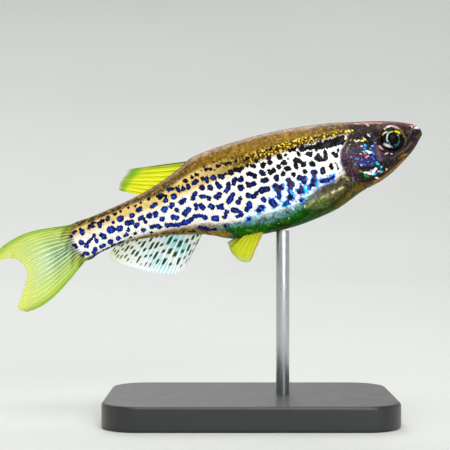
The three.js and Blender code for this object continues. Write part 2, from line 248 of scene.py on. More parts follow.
HALF_WIDTH = [
    (0, 0.36), (0.1, 0.52), (0.4, 0.82), (1, 1.16), (2, 1.55), (3.1, 1.83), (4.5, 2.03), (6.5, 2.17),
    (9, 2.33), (12.5, 2.45), (16.5, 2.4), (20, 2.18), (24, 1.78), (28, 1.32), (32, 0.88), (35, 0.56),
    (37, 0.42),
]
WIDEST = [(0, -0.05), (2, 0.1), (5, -0.2), (9, -0.35), (14, -0.35), (20, 0.1), (26, 0.35), (37, 0.1)]
SECTION_POWER = 2.25
BODY_END = 37
DEEPEST = 15


def curve_through(pairs):
    """A smooth curve with no overshoot through rising (x, y) pairs."""
    x, y = np.array(pairs, float).T
    width, rise = np.diff(x), np.diff(y)
    slope = rise / width
    before, after = np.append(slope[0], slope), np.append(slope, slope[-1])
    turns = before * after <= 0
    tangent = np.where(turns, 0, 2 * before * after / np.where(turns, 1, before + after))

    def at(place):
        i = np.clip(np.searchsorted(x, place, side="right") - 1, 0, len(width) - 1)
        t = np.clip((place - x[i]) / width[i], 0, 1)
        leaving = tangent[i] * width[i] - rise[i]
        arriving = rise[i] - tangent[i + 1] * width[i]
        return y[i] + t * rise[i] + t * (1 - t) * (leaving * (1 - t) + arriving * t)

    return at


back_at, belly_at, half_width_at, widest_at = map(curve_through, (BACK, BELLY, HALF_WIDTH, WIDEST))
print("deepest section:", round(float(back_at(DEEPEST) - belly_at(DEEPEST)), 2), "mm")

# %% [markdown]
# ## Places on the skin
#
# Each ring is an oval a little squarer than an ellipse. A place on it is found by the angle from the back.
# For the markings and the scales, a level is handier: the distance measured over the skin from the widest
# line, up towards the back or down towards the belly. Spots laid out by station and level keep their size
# all round the body, where spots laid out in a side view would stretch over the back.

# %% Find places on the skin
def rounded(v):
    return np.sign(v) * np.abs(v) ** (2 / SECTION_POWER)


def skin_at(station, angle, grow=0.0):
    """Places on the skin at stations and at angles from the back: x back to front, y to the left, z up."""
    widest = widest_at(station)
    up = np.cos(angle)
    reach = np.where(up > 0, back_at(station) - widest, widest - belly_at(station))
    y = (half_width_at(station) + grow) * rounded(np.sin(angle))
    z = widest + (reach + grow) * rounded(up)
    return np.stack(np.broadcast_arrays(-station, y, z), -1)


def look_up(table, row, column):
    """A table's value between its cells, for rows and columns that run from 0 to 1."""
    i = np.clip(row, 0, 1) * (table.shape[0] - 1)
    j = np.clip(column, 0, 1) * (table.shape[1] - 1)
    i0 = np.minimum(i.astype(int), table.shape[0] - 2)
    j0 = np.minimum(j.astype(int), table.shape[1] - 2)
    di, dj = i - i0, j - j0
    top = table[i0, j0] * (1 - dj) + table[i0, j0 + 1] * dj
    low = table[i0 + 1, j0] * (1 - dj) + table[i0 + 1, j0 + 1] * dj
    return top * (1 - di) + low * di


TABLE_STATIONS = np.linspace(0, BODY_END, 223)
TABLE_ANGLES = np.linspace(0, np.pi, 181)
rings = skin_at(TABLE_STATIONS[:, None], TABLE_ANGLES[None, :])
arcs = np.cumsum(np.linalg.norm(np.diff(rings, axis=1), axis=2), axis=1)
arcs = np.pad(arcs, ((0, 0), (1, 0)))
half_way = arcs[:, len(TABLE_ANGLES) // 2, None]
LEVELS = half_way - arcs + widest_at(TABLE_STATIONS)[:, None]
top_level_at = curve_through(list(zip(TABLE_STATIONS, LEVELS[:, 0])))
low_level_at = curve_through(list(zip(TABLE_STATIONS, LEVELS[:, -1])))
EVEN = np.linspace(0, 1, len(TABLE_ANGLES))
ANGLE_TABLE = np.array([
    np.interp(row[-1] + EVEN * (row[0] - row[-1]), row[::-1], TABLE_ANGLES[::-1]) for row in LEVELS
])


def level_at(station, angle):
    return look_up(LEVELS, station / BODY_END, angle / np.pi)


def angle_of(station, height):
    """The angle from the back of places on the skin, given by station and height."""
    widest = widest_at(station)
    reach = np.where(height > widest, back_at(station), belly_at(station)) - widest
    lean = np.clip((height - widest) / reach, 0, 1) ** (SECTION_POWER / 2)
    return np.arccos(lean * np.sign(reach))


def angle_at(station, level):
    low, top = low_level_at(station), top_level_at(station)
    return look_up(ANGLE_TABLE, station / BODY_END, (level - low) / (top - low))


deepest_row = np.searchsorted(TABLE_STATIONS, DEEPEST)
print("girth at the deepest section:", round(2 * float(arcs[deepest_row, -1]), 1), "mm")

# %% [markdown]
# ## The fish as the camera sees it
#
# The near flank stands up to 2.4 mm in front of the middle plane, so the lens shows it a little enlarged. A
# mark read from the photograph is where it is *seen*. Here the camera is put into the fish's own frame
# once. Then a place on the skin can be turned into the place where it is seen, and a seen mark can be put
# onto the skin.

# %% Match seen places and skin places
JAW_TIP = (16.8, 0, 28.1)
PITCH = math.radians(18.1)
FISH = Matrix.Translation(JAW_TIP) @ Matrix.Rotation(-PITCH, 4, "Y")
TO_WORLD = Matrix.Scale(MM, 4) @ FISH
sight = TO_WORLD.inverted() @ VIEWPOINT
SIGHT_STATION, SIGHT_HEIGHT, SIGHT_DISTANCE = -sight.x, sight.z, -sight.y


def as_seen(place):
    """The station and height at which places of the skin are seen."""
    nearer = 1 - np.abs(place[:, 1]) / SIGHT_DISTANCE
    station = SIGHT_STATION + (-place[:, 0] - SIGHT_STATION) / nearer
    height = SIGHT_HEIGHT + (place[:, 2] - SIGHT_HEIGHT) / nearer
    return station, height


def onto_skin(station, height):
    """The station and level on the skin of marks seen at a station and height."""
    s, h = station, height
    for _ in range(3):
        nearer = 1 - skin_at(s, angle_of(s, h))[..., 1] / SIGHT_DISTANCE
        s = SIGHT_STATION + (station - SIGHT_STATION) * nearer
        h = SIGHT_HEIGHT + (height - SIGHT_HEIGHT) * nearer
    return s, level_at(s, angle_of(s, h))


print("a mark seen at 5, 0 lies at", np.round(onto_skin(np.array([5.0]), np.array([0.0])), 2).ravel())

# %% [markdown]
# ## Drawing on the side view
#
# Both sculpting and painting follow lines seen from the side: the edge of a gill cover, a groove, a glint.
# A canvas knows the station and height of every vertex of a piece. It answers how strongly a soft line
# covers each one. Grooves, ridges and brush strokes then all come from the same short call.

# %% Make a canvas
def smooth(value):
    """A soft step from 0 to 1."""
    t = np.clip(value, 0, 1)
    return t * t * (3 - 2 * t)


def rising(value, low, high):
    """A soft step from 0 at low to 1 at high. High may be the smaller of the two."""
    return smooth((value - low) / (high - low))


def round_end(share):
    """How wide a rounded end is, from 0 at its tip to 1 where it joins."""
    return np.sqrt(1 - (1 - np.clip(share, 0, 1)) ** 2)


def spline(points, count):
    """Even steps along a smooth line that passes through every point."""
    knots = np.array(points, float)
    t = np.linspace(0, len(knots) - 1, count)
    i = np.minimum(t.astype(int), len(knots) - 2)
    f = (t - i)[:, None]
    before, after = knots[np.maximum(i - 1, 0)], knots[np.minimum(i + 2, len(knots) - 1)]
    start, end = knots[i], knots[i + 1]
    slope0, slope1 = (end - before) / 2, (after - start) / 2
    bend = (2 * slope0 + slope1) * -f ** 2 + slope0 * f + (slope0 + slope1) * f ** 3
    return start + (end - start) * (3 * f ** 2 - 2 * f ** 3) + bend


class Canvas:
    """The side view of a piece: the station and height of each of its vertices."""

    def __init__(self, station, height):
        self.station = station
        self.height = height

    def distance(self, points, reach):
        """Distance from each vertex to a smooth line, or reach where it is further than that."""
        points = np.array(points, float)
        line = spline(points, 6 * len(points)) if len(points) > 2 else points
        found = np.full(self.station.shape, reach)
        low, high = line.min(0) - reach, line.max(0) + reach
        near = (self.station > low[0]) & (self.station < high[0])
        near &= (self.height > low[1]) & (self.height < high[1])
        place = np.stack([self.station[near], self.height[near]], 1)
        best = found[near]
        for start, end in zip(line, line[1:]):
            along = end - start
            share = np.clip((place - start) @ along / max(along @ along, 1e-12), 0, 1)
            gap = np.linalg.norm(place - start - share[:, None] * along, axis=1)
            best = np.minimum(best, gap)
        found[near] = best
        return found

    def stroke(self, points, radius, soft=0.8):
        """How strongly a soft line covers each vertex, 1 along its middle and 0 beyond its radius."""
        if len(points) == 1:
            points = [points[0], (points[0][0] + 0.01, points[0][1])]
        edge = radius * (1 - soft)
        return 1 - smooth((self.distance(points, radius) - edge) / (radius - edge))


print("canvas ready")

# %% [markdown]
# ## The skin's drum
#
# One closed skin covers head, jaw, gill covers, trunk and tail stalk, so no seam shows between them. It
# starts as a sphere whose poles point forwards and back. Every ring of it is moved to a station, and its
# vertices are spread evenly over the ring. The rings are closer on the head, which has the finest detail,
# and they close round the jaw tip. Near the tail they thin to a wedge and bend to the curved line where the
# fin rays begin.

# %% Shape the drum
COLUMNS = 250
RINGS = 390
EVEN_SPREAD = 0.75
FRONT_CAP = 0.12
END_CAP = 2.4
END_THINNING = 0.1
BEND_START = 33.5
TAIL_ROOT = [
    (-5, 34.95), (-1.95, 35.4), (-1.3, 36.1), (-0.5, 36.55), (0.4, 36.7), (1.35, 36.5), (2.1, 35.95),
    (5, 35.8),
]
tail_root_at = curve_through(TAIL_ROOT)

drum = bmesh.new()
bmesh.ops.create_uvsphere(drum, u_segments=COLUMNS, v_segments=RINGS, radius=1)
ball = places_of(drum)
share = np.arccos(np.clip(ball[:, 2], -1, 1)) / np.pi
turned = np.arctan2(ball[:, 1], ball[:, 0])
station = BODY_END * (EVEN_SPREAD * share + (1 - EVEN_SPREAD) * share ** 2)
top, low = top_level_at(station), low_level_at(station)
skin_level = top + (low - top) * np.abs(turned) / np.pi
place = skin_at(station, angle_at(station, skin_level) * np.sign(turned))
middle = widest_at(station)
nose = round_end(station / FRONT_CAP)
past = ((station - BODY_END + END_CAP) / END_CAP).clip(0, 1)
rear_pole = share > 1 - 0.5 / RINGS
height = (place[:, 2] - middle) * nose * (1 - END_THINNING * past ** 2)
place[:, 1] *= np.where(rear_pole, 0, nose * (1 - past ** 2))
place[:, 2] = middle + np.where(rear_pole, 0, height)
place[:, 0] += rising(station, BEND_START, BODY_END) * (BODY_END - tail_root_at(place[:, 2]))
put(drum, place)
bmesh.ops.recalc_face_normals(drum, faces=drum.faces)
drum.normal_update()
outward = np.array([v.normal for v in drum.verts])
print("skin vertices:", len(place), "outward:", bool((outward * (place - [-15, 0, 0]) > 0).mean() > 0.5))

# %% [markdown]
# ## Sculpting the head
#
# The head of a danio has hard plates under thin skin: the gill cover and the plate in front of it, the ring
# of small bones below the eye, the upper jaw and the deep lower jaw that tips up. A sculptor would carve
# them with a fine tool. Here every stroke is a line in the side view that raises or sinks the skin a little
# along its normals. The socket, the nostrils and the mouth's cleft are strokes too, only deeper.

# %% Carve the head
GILL_LINE = [
    (7, 6), (7.05, 3), (7.2, 1.7), (7.8, 1.1), (8.4, 0.4), (8.65, -0.6), (8.45, -1.6), (7.9, -2.5),
    (7.05, -3.2), (6.45, -4.2), (6.25, -6),
]
MOUTH_LINE = [(0.36, 1.2), (0.5, 0.75), (0.78, 0.25), (1.12, -0.3), (1.5, -0.8)]
EYE_CENTRE = (3.22, 0.1)
EYE_RADIUS = 1.1

# Each stroke: how far it raises the skin, its radius, and the line it follows.
SCULPT = [
    (-0.15, 0.13, MOUTH_LINE),
    (0.05, 0.3, [(0.62, 0.9), (0.92, 0.38), (1.28, -0.2), (1.62, -0.7)]),
    (0.07, 0.24, [(0.26, 0.8), (0.42, 0.3), (0.74, -0.15), (1.1, -0.72), (1.42, -1.05)]),
    (0.05, 0.3, [(1.02, 0.62), (1.2, 0.05), (1.55, -0.5), (1.85, -1)]),
    (-0.05, 0.16, [(1.35, 0.5), (1.5, -0.1), (1.85, -0.7), (2.2, -1.2)]),
    (-0.03, 0.2, [(1.3, -0.95), (2.3, -1.55), (3.5, -2.15), (4.6, -2.6)]),
    (0.025, 0.3, [(1.4, -1.25), (2.4, -1.85), (3.6, -2.45), (4.7, -2.9)]),
    (-0.05, 0.16, [(4.5, 0.45), (4.5, -0.4), (4.1, -1.15), (3.35, -1.5), (2.4, -1.35), (1.8, -0.8)]),
    (0.035, 0.3, [(4.2, 0.1), (4.15, -0.55), (3.7, -1.1), (3, -1.25), (2.3, -1)]),
    (-0.07, 0.15, [(5.45, 1.3), (5.08, 0.5), (5, -0.6), (4.86, -1.5), (4.6, -2.1), (4.85, -2.7), (5.8, -3)]),
    (0.05, 0.35, [(5.35, 0.7), (5.3, -0.5), (5.2, -1.5), (5, -2.2)]),
    (-0.05, 0.14, [(8.2, -1.35), (7.3, -2), (6.4, -2.32), (5.3, -2.3)]),
    (-0.04, 0.12, [(7.5, -2.5), (6.5, -2.85), (5.5, -2.8)]),
    (-0.05, 0.16, [(7.3, 1.35), (6.2, 1.55), (5.4, 1.25)]),
    (-0.03, 0.12, [(4.9, 0.9), (4.5, 1.25), (3.9, 1.6), (3, 1.62)]),
    (-0.05, 0.12, [(6.8, -3.25), (5.7, -3.2), (4.6, -2.95), (3.6, -2.5)]),
    (0.09, 0.55, [(8.35, -2.2), (8.4, -2.75)]),
    (0.1, 0.5, [(22.5, -3.1), (22.9, -2.95)]),
    (-0.14, 0.15, [(1.5, 0.78)]),
    (-0.12, 0.14, [(1.85, 0.88)]),
    (0.05, 0.14, [(1.67, 0.7), (1.69, 0.98)]),
]
SOCKET_RIM = 1.22
SOCKET_DEEP = 0.5
SOCKET_SLOPE = 0.3
LID = {"raise": 0.08, "out": 1.27, "width": 0.12}
COVER_EDGE = {"raise": 0.07, "spread": 1.1, "top": 1.9, "bottom": -3.9, "fade": 0.8}
GILL_SLIT = {"sink": 0.17, "behind": 0.14, "width": 0.13}


def bell(distance, width):
    """1 at no distance, falling off smoothly on both sides."""
    return np.exp(-(distance / width) ** 2)


def signed_to_gill(station, height):
    """Distance ahead of the gill cover's rear edge, negative behind it."""
    line = spline(GILL_LINE, 80)[::-1]
    edge = np.interp(height, line[:, 1], line[:, 0])
    slope = np.interp(height, line[:, 1], np.gradient(line[:, 0], line[:, 1]))
    return (edge - station) / np.hypot(1, slope)


def sculpted(canvas, seen):
    """How far each vertex is pushed out."""
    push = np.zeros(canvas.station.shape)
    for amount, radius, line in SCULPT:
        push += amount * seen.stroke(line, radius, soft=1)
    out = np.hypot(canvas.station - EYE_CENTRE[0], canvas.height - EYE_CENTRE[1])
    push += LID["raise"] * bell(out - LID["out"], LID["width"])
    push -= SOCKET_DEEP * rising(out, SOCKET_RIM, SOCKET_RIM - SOCKET_SLOPE)
    ahead = signed_to_gill(canvas.station, canvas.height)
    fade = rising(canvas.height, COVER_EDGE["top"], COVER_EDGE["top"] - COVER_EDGE["fade"])
    fade *= rising(canvas.height, COVER_EDGE["bottom"], COVER_EDGE["bottom"] + COVER_EDGE["fade"])
    cover_edge = np.where(ahead > 0, np.exp(-ahead / COVER_EDGE["spread"]), 0)
    push += fade * COVER_EDGE["raise"] * cover_edge
    push -= fade * GILL_SLIT["sink"] * bell(ahead + GILL_SLIT["behind"], GILL_SLIT["width"])
    return push


print("strokes on the head:", len(SCULPT))

# %% [markdown]
# ## The zones of colour
#
# From back to belly a leopard danio changes from olive brown to a line of gold flecks, then silver white,
# then a blue-grey shade over a clear belly. A painted highlight runs along the top of the back and head,
# the belly's green is painted reflection of the green round the fish, and the belly is painted darker
# towards its lower edge as shade. The limits run along the body as smooth lines, read from the side. Each
# limit is one short curve, and the ground colour of a vertex is mixed from the zones on either side of it.

# %% Mix the ground colours
BACK_LINE = curve_through([
    (0, 0.9), (3, 1.6), (7.6, 2.4), (9.5, 2.65), (11.3, 2.95), (14, 3.1), (16.7, 3.1), (19.5, 3.3),
    (22.4, 3.1), (24, 2.75), (26, 2.1), (29.4, 1.88), (33, 1.57), (36, 1.4), (37, 1.4),
])
# Where the painted highlight along the top of the back begins: the overhead light caught on it.
RIM_HIGHLIGHT_LINE = curve_through([
    (0, 1), (3, 1.9), (6.5, 2.8), (8.5, 3.2), (10.7, 3.6), (13, 4), (15.2, 4.3), (20, 4.35), (22.5, 4.1),
    (24, 3.5), (26, 2.9), (30, 2.2), (37, 1.9),
])
GOLD_LINE = curve_through([
    (0, 0), (7, 1.9), (12, 2.15), (15, 2.1), (20, 1.75), (24, 1.4), (28, 1), (37, 0.7),
])
SILVER_LINE = curve_through([
    (0, -1), (8.4, -1.5), (9.7, -1.9), (11.4, -2.25), (12.8, -2.7), (14.2, -3.05), (16.6, -3.1),
    (19, -2.85), (21.3, -2.5), (22.7, -2.1), (24.4, -1.75), (27, -1.35), (30, -1.12), (32.5, -1.25),
    (35, -1.55), (37, -1.6),
])
GREEN_LINE = curve_through([
    (0, -2), (8.9, -2.9), (10.6, -3.1), (12.9, -3.4), (14.3, -3.7), (16.6, -3.9), (18.8, -3.5),
    (20.9, -3.1), (22, -3), (37, -3),
])

OLIVE_BACK = colour("8c6a14")
DARK_BACK = colour("2c1d08")
REAR_BACK = colour("665430")
RIM_HIGHLIGHT = colour("c9ada2")
GOLD_GROUND = colour("e8cd86")
FLECKED_BROWN = colour("70541a")
CREAM_GROUND = colour("f6e6bd")
SILVER_GROUND = colour("ffffff")
CHEST_SHADE = colour("5e543c")
TEAL_SHADE = colour("6a9fa6")
OLIVE_BELLY = colour("4c4610")
# The clear belly's green is painted reflection: the green round the fish, seen in and through its skin.
BELLY_REFLECTED_GREEN = colour("127004")
# Painted shade for the belly's lower edge.
SHADED_BELLY_EDGE = colour("274a06")
VENT_GOLD = colour("a38434")
HEAD_BROWN = colour("211415")
HEAD_TOP_HIGHLIGHT = colour("74524a")


def mixed(first, second, share):
    """A colour per vertex, from first where share is 0 to second where it is 1."""
    share = np.clip(share, 0, 1)[:, None]
    return np.asarray(first)[..., :3] * (1 - share) + np.asarray(second)[..., :3] * share


def ground_at(station, height, ahead):
    """The ground colour of places seen from the side, a distance ahead of the gill cover's rear edge."""
    creamy = rising(height - GOLD_LINE(station), -0.7, 0.2) * rising(station, 14, 20)
    silver = mixed(SILVER_GROUND, CREAM_GROUND, creamy)
    gold = mixed(FLECKED_BROWN, GOLD_GROUND, rising(station, 17, 23))
    ground = mixed(silver, gold, rising(height - GOLD_LINE(station), -0.1, 0.25))
    olive = mixed(OLIVE_BACK, REAR_BACK, rising(station, 20, 26))
    ground = mixed(ground, olive, rising(height - BACK_LINE(station), -0.12, 0.23))
    # A pale band just under the top outline is a painted highlight, the overhead light caught on the back.
    ground = mixed(ground, RIM_HIGHLIGHT, 0.62 * rising(height - RIM_HIGHLIGHT_LINE(station), -0.15, 0.15))
    ridge = rising(height - back_at(station), -0.15, 0)
    ground = mixed(ground, DARK_BACK, 0.7 * ridge)
    rearward = rising(station, 20, 24)
    below = mixed(mixed(CHEST_SHADE, TEAL_SHADE, rising(station, 10.5, 13.5)), VENT_GOLD, rearward)
    ground = mixed(ground, below, rising(SILVER_LINE(station) - height, -0.12, 0.33))
    green = mixed(OLIVE_BELLY, BELLY_REFLECTED_GREEN, rising(station, 9, 13))
    # Painted shade: the belly turns darker towards its lower edge, where the overhead light falls least.
    green = mixed(green, SHADED_BELLY_EDGE, 0.8 * rising(belly_at(station) - height, -0.8, 0))
    ground = mixed(ground, green, (1 - rearward) * rising(GREEN_LINE(station) - height, -0.25, 0.25))
    # The top of the head is painted lighter: a painted highlight from the overhead light.
    head = mixed(HEAD_BROWN, HEAD_TOP_HIGHLIGHT, rising(height - back_at(station), -0.45, -0.05))
    head = mixed(head, HEAD_BROWN, 0.6 * ridge)
    nape = rising(height, 1.8, 2.6)
    return mixed(ground, head, smooth((ahead + 0.1 + 0.5 * nape) / (0.25 + nape)))


print("colour zones ready")

# %% [markdown]
# ## Washes and sparks
#
# The head is where a danio has most colour: gold flecks on the nape, blue and cyan sparks on the gill
# cover, pinkish cheeks and a dark red-brown band behind. Painted highlights lie on it too: a bright arc
# under the cover, a pale arc over the eye, a pale edge on the gill membrane and a pale line along the top.
# None of it repeats, so it is painted one stroke at a time, as a model painter would. Washes are soft and
# lie in the ground colour. Most sparks are painted glints, the light that small mirrors in the skin throw
# back in white, blue and cyan; the gold and rust flecks among them are the skin's own colour. Sparks are
# kept apart from the washes, so that the finish can break them into glints.

# %% Paint the head and belly one stroke at a time
# Each wash: colour, radius, strength, and its line as (station, height).
WASHES = [
    # The dark mask of the head, from the nape to the jaw.
    ("241a17", 0.8, 0.8, [(6.9, 1.6), (5.8, 1.6), (4.9, 1.1), (4.4, 0.9)]),
    ("4a3835", 0.7, 0.8, [(7.7, 0.4), (7.3, -0.4), (7.6, -1.3)]),
    ("30272f", 0.8, 0.8, [(6.6, -0.2), (6.2, -1)]),
    ("22304f", 0.55, 0.85, [(6.3, -1.1), (5.8, -1.35), (5.4, -1.5)]),
    ("1c2a55", 0.4, 0.8, [(5.9, 0.3), (5.5, -0.1), (5.2, -0.8)]),
    ("43304f", 0.35, 0.7, [(7.1, -0.3), (6.5, -0.7)]),
    ("1b2a78", 0.5, 0.7, [(6.7, -1), (6, -1.25), (5.5, -1.2)]),
    ("2c2470", 0.3, 0.6, [(5.6, 0.1), (5.3, -0.5)]),
    ("4a2030", 0.3, 0.6, [(6.6, -1.7), (7.3, -1.5), (7.9, -1)]),
    ("5b443a", 0.35, 0.7, [(3.9, 1.75), (3.4, 1.6)]),
    # A pale pink line along the top of the head is a painted highlight.
    ("8a5f70", 0.16, 0.7, [(5.9, 2.72), (4.4, 2.3), (3, 1.85), (1.6, 1.3), (0.9, 1)]),
    ("bd8873", 0.14, 0.8, [(6, 2.74), (5, 2.46), (4.2, 2.22), (3.5, 1.99)]),
    ("5a3a4a", 0.2, 0.7, [(2.9, 1.68), (2.2, 1.42), (1.3, 1.08)]),
    ("3b2f26", 0.3, 0.7, [(1.9, 1.05), (1.5, 0.7), (1.3, 0.3)]),
    ("251811", 0.3, 0.8, [(1.2, -0.2), (1.1, -0.7)]),
    ("6b5026", 0.24, 0.6, [(0.3, -0.25), (0.55, -0.5)]),
    ("43262a", 0.28, 0.7, [(0.6, -0.7), (1.1, -1.1), (1.6, -1.4)]),
    ("9b6c1c", 0.18, 0.85, [(2, -1.72), (2.4, -1.72), (2.8, -1.85)]),
    ("4a3320", 0.35, 0.7, [(2.6, -2.1), (3.6, -2.45), (4.6, -2.8)]),
    ("60501d", 0.3, 0.8, [(5.2, -3.3), (6.3, -3.35), (7.6, -3.55)]),
    ("a8740e", 0.15, 0.9, [(2.4, -2.05), (3.2, -2.45), (4.6, -3.05), (6, -3.38)]),
    ("84660e", 0.16, 0.6, [(5.6, -3.42), (7.4, -3.76), (9, -4.26), (10.4, -4.6)]),
    ("8a6a10", 0.4, 0.6, [(7, -3.3), (8.4, -3.6), (9.6, -4.1)]),
    # The gill membrane behind the cover, and a painted highlight along its upper edge.
    ("35262a", 0.34, 0.9, [(7.8, 0.55), (8.2, -0.2), (8.25, -1), (8, -1.8), (7.4, -2.4)]),
    ("b08c92", 0.15, 0.5, [(7.3, 0.8), (7.5, 0.55), (7.65, 0.25)]),
    ("070608", 0.5, 0.85, [(5.3, 1), (4.9, 0.6), (4.6, 0.9)]),
    ("08080a", 0.35, 0.8, [(4.2, 1.2), (4.1, 0.5), (4.15, -0.1)]),
    ("0a0809", 0.3, 0.7, [(6.9, 1.65), (6.2, 1.5), (5.7, 1.3)]),
    ("2c4a74", 0.16, 0.7, [(6.9, -0.95), (6.3, -1.35), (5.5, -1.75)]),
    ("0d0a12", 0.14, 0.8, [(6.6, -1.75), (5.9, -1.95), (5.4, -1.9)]),
    ("120d0c", 0.16, 0.8, [(6.1, -2.72), (5.4, -2.85), (4.8, -2.85)]),
    ("3f4a5c", 0.22, 0.6, [(4.3, -1.35), (3.6, -1.55), (2.9, -1.5)]),
    ("4a3a1c", 0.6, 0.65, [(7.2, 2.75), (8.4, 3), (9.8, 3.35)]),
    ("8a8290", 0.28, 0.75, [(9.3, -2.05), (10.4, -2.2), (11.4, -2.35)]),
    ("5c4e4a", 0.2, 0.65, [(8.6, -2.25), (9.6, -2.5), (10.6, -2.6)]),
    ("2c261c", 0.16, 0.7, [(8.1, -2.4), (8.3, -2.9), (8.8, -3.3)]),
    ("cfc6a0", 0.12, 0.7, [(8.9, -1.75), (8.5, -2), (8.3, -2.3)]),
    ("713b28", 0.22, 0.6, [(7.4, -1.75), (7.1, -1.95)]),
    ("5a6a1f", 0.14, 0.7, [(7.4, -1.35), (7.3, -1.42)]),
    # Cheek and the ring of bones below the eye.
    ("6f5a68", 0.42, 0.8, [(4.75, -0.2), (4.7, -0.8), (4.7, -1.4)]),
    ("2a3442", 0.36, 0.85, [(4.35, -1.5), (3.9, -1.6), (3.4, -1.5)]),
    ("5f4a4e", 0.3, 0.6, [(3, -1.35), (2.5, -1.35), (2.1, -1.2)]),
    # The pale arc over the eye is a painted highlight on the rim of its socket.
    ("e8d0c8", 0.1, 0.95, [(3.4, 1.28), (3.05, 1.42), (2.7, 1.38), (2.3, 1.14), (2.04, 0.88)]),
    ("b59a62", 0.1, 0.85, [(2.02, 0.86), (1.9, 0.6), (1.84, 0.3), (1.82, 0.05)]),
    ("8d7d57", 0.13, 0.6, [(1.8, 0.1), (1.72, -0.1), (1.8, -0.5), (1.95, -0.8)]),
    ("6f6248", 0.1, 0.5, [(1.2, 0.35), (1.22, 0)]),
    ("6f6248", 0.1, 0.5, [(0.95, 0.5), (0.92, 0.2)]),
    # Shoulder and chest behind the gill opening.
    ("f4f1ea", 0.34, 0.8, [(8.5, 0.8), (8.85, 0.1), (8.95, -0.8)]),
    ("a7747c", 0.1, 0.75, [(8.3, -1), (8.55, -1.3), (9.1, -1.5)]),
    ("4f8fe0", 0.2, 0.75, [(9.5, -1.6), (10.3, -1.7), (11.2, -1.6)]),
    ("75859a", 0.26, 0.7, [(9.8, -2), (10.8, -2.15), (11.8, -2.3)]),
    ("58a9c8", 0.14, 0.6, [(8.5, -0.4), (8.45, -0.65)]),
    ("5a4b34", 0.3, 0.7, [(8.3, -2.9), (7.7, -3)]),
    ("b9ad80", 0.12, 0.7, [(8.2, -2.1), (8.9, -1.8), (9.6, -2.1)]),
    ("8f8a3a", 0.22, 0.6, [(10, -3.25), (11.5, -3.5), (13, -3.6)]),
    ("6d5a66", 0.24, 0.5, [(10.4, -2.35), (11.6, -2.5), (12.8, -2.85)]),
    ("efe6bc", 0.2, 1, [(9.1, -2.85), (9.6, -2.95), (10.2, -3)]),
    ("b9bc78", 0.24, 0.95, [(10.7, -3.1), (11.6, -3.2), (12.6, -3.3)]),
    ("2e2a06", 0.3, 0.7, [(9.2, -3.7), (10.6, -4.1), (12.4, -4.4)]),
    ("1a3a06", 0.35, 0.6, [(12.6, -3.9), (14.4, -4.5), (17, -4.5)]),
    ("6fb8c8", 0.18, 0.5, [(13, -2.95), (15, -3.15), (17, -3.05), (19, -2.75)]),
    # The gold-brown vent and the dark line above the anal fin.
    ("b88a10", 0.4, 0.9, [(21.3, -3.72), (22.1, -3.4), (22.8, -3.1), (23.6, -2.82)]),
    ("9aa05a", 0.16, 0.6, [(22.6, -3.05), (24.4, -2.6)]),
    ("a88a30", 0.12, 0.8, [
        (25, -2.45), (26.8, -2), (28.4, -1.62), (30, -1.36), (31.8, -1.42), (33.5, -1.62),
    ]),
    ("cdb59a", 0.26, 0.6, [(22.4, -2.35), (24, -1.95), (25.5, -1.8)]),
    ("6e5f3c", 0.16, 0.7, [(22, -2.9), (23.4, -2.55), (24.6, -2.2), (26, -1.85)]),
    ("3a2b18", 0.26, 0.75, [(28.5, 2.3), (31, 2.02), (33.5, 1.85), (35.8, 1.75)]),
    ("8c9060", 0.5, 0.8, [(35.5, 1.8), (35.9, 1.3), (36.2, 0.4), (36.05, -0.7), (35.5, -1.4)]),
    ("3a3416", 0.3, 0.8, [(34, -1.62), (35, -1.8), (35.8, -1.75)]),
    ("9fc9b0", 0.14, 0.6, [(35.9, 0.7), (36, 0.1), (35.85, -0.5)]),
]
# The dark roots of the tail's rays fan out over the end of the stalk, from before its edge to just past it.
RAY_ROOTS = 14
RAY_ROOT_LOW, RAY_ROOT_HIGH = -1.45, 1.85
RAY_ROOT_BEFORE, RAY_ROOT_PAST = 0.95, 0.2
RAY_ROOT_SPREAD = 0.9
for ray_height in np.linspace(RAY_ROOT_LOW, RAY_ROOT_HIGH, RAY_ROOTS):
    edge = float(tail_root_at(ray_height))
    ray_root = [(edge - RAY_ROOT_BEFORE, RAY_ROOT_SPREAD * ray_height), (edge + RAY_ROOT_PAST, ray_height)]
    WASHES.append(("34361c", 0.1, 0.75, ray_root))
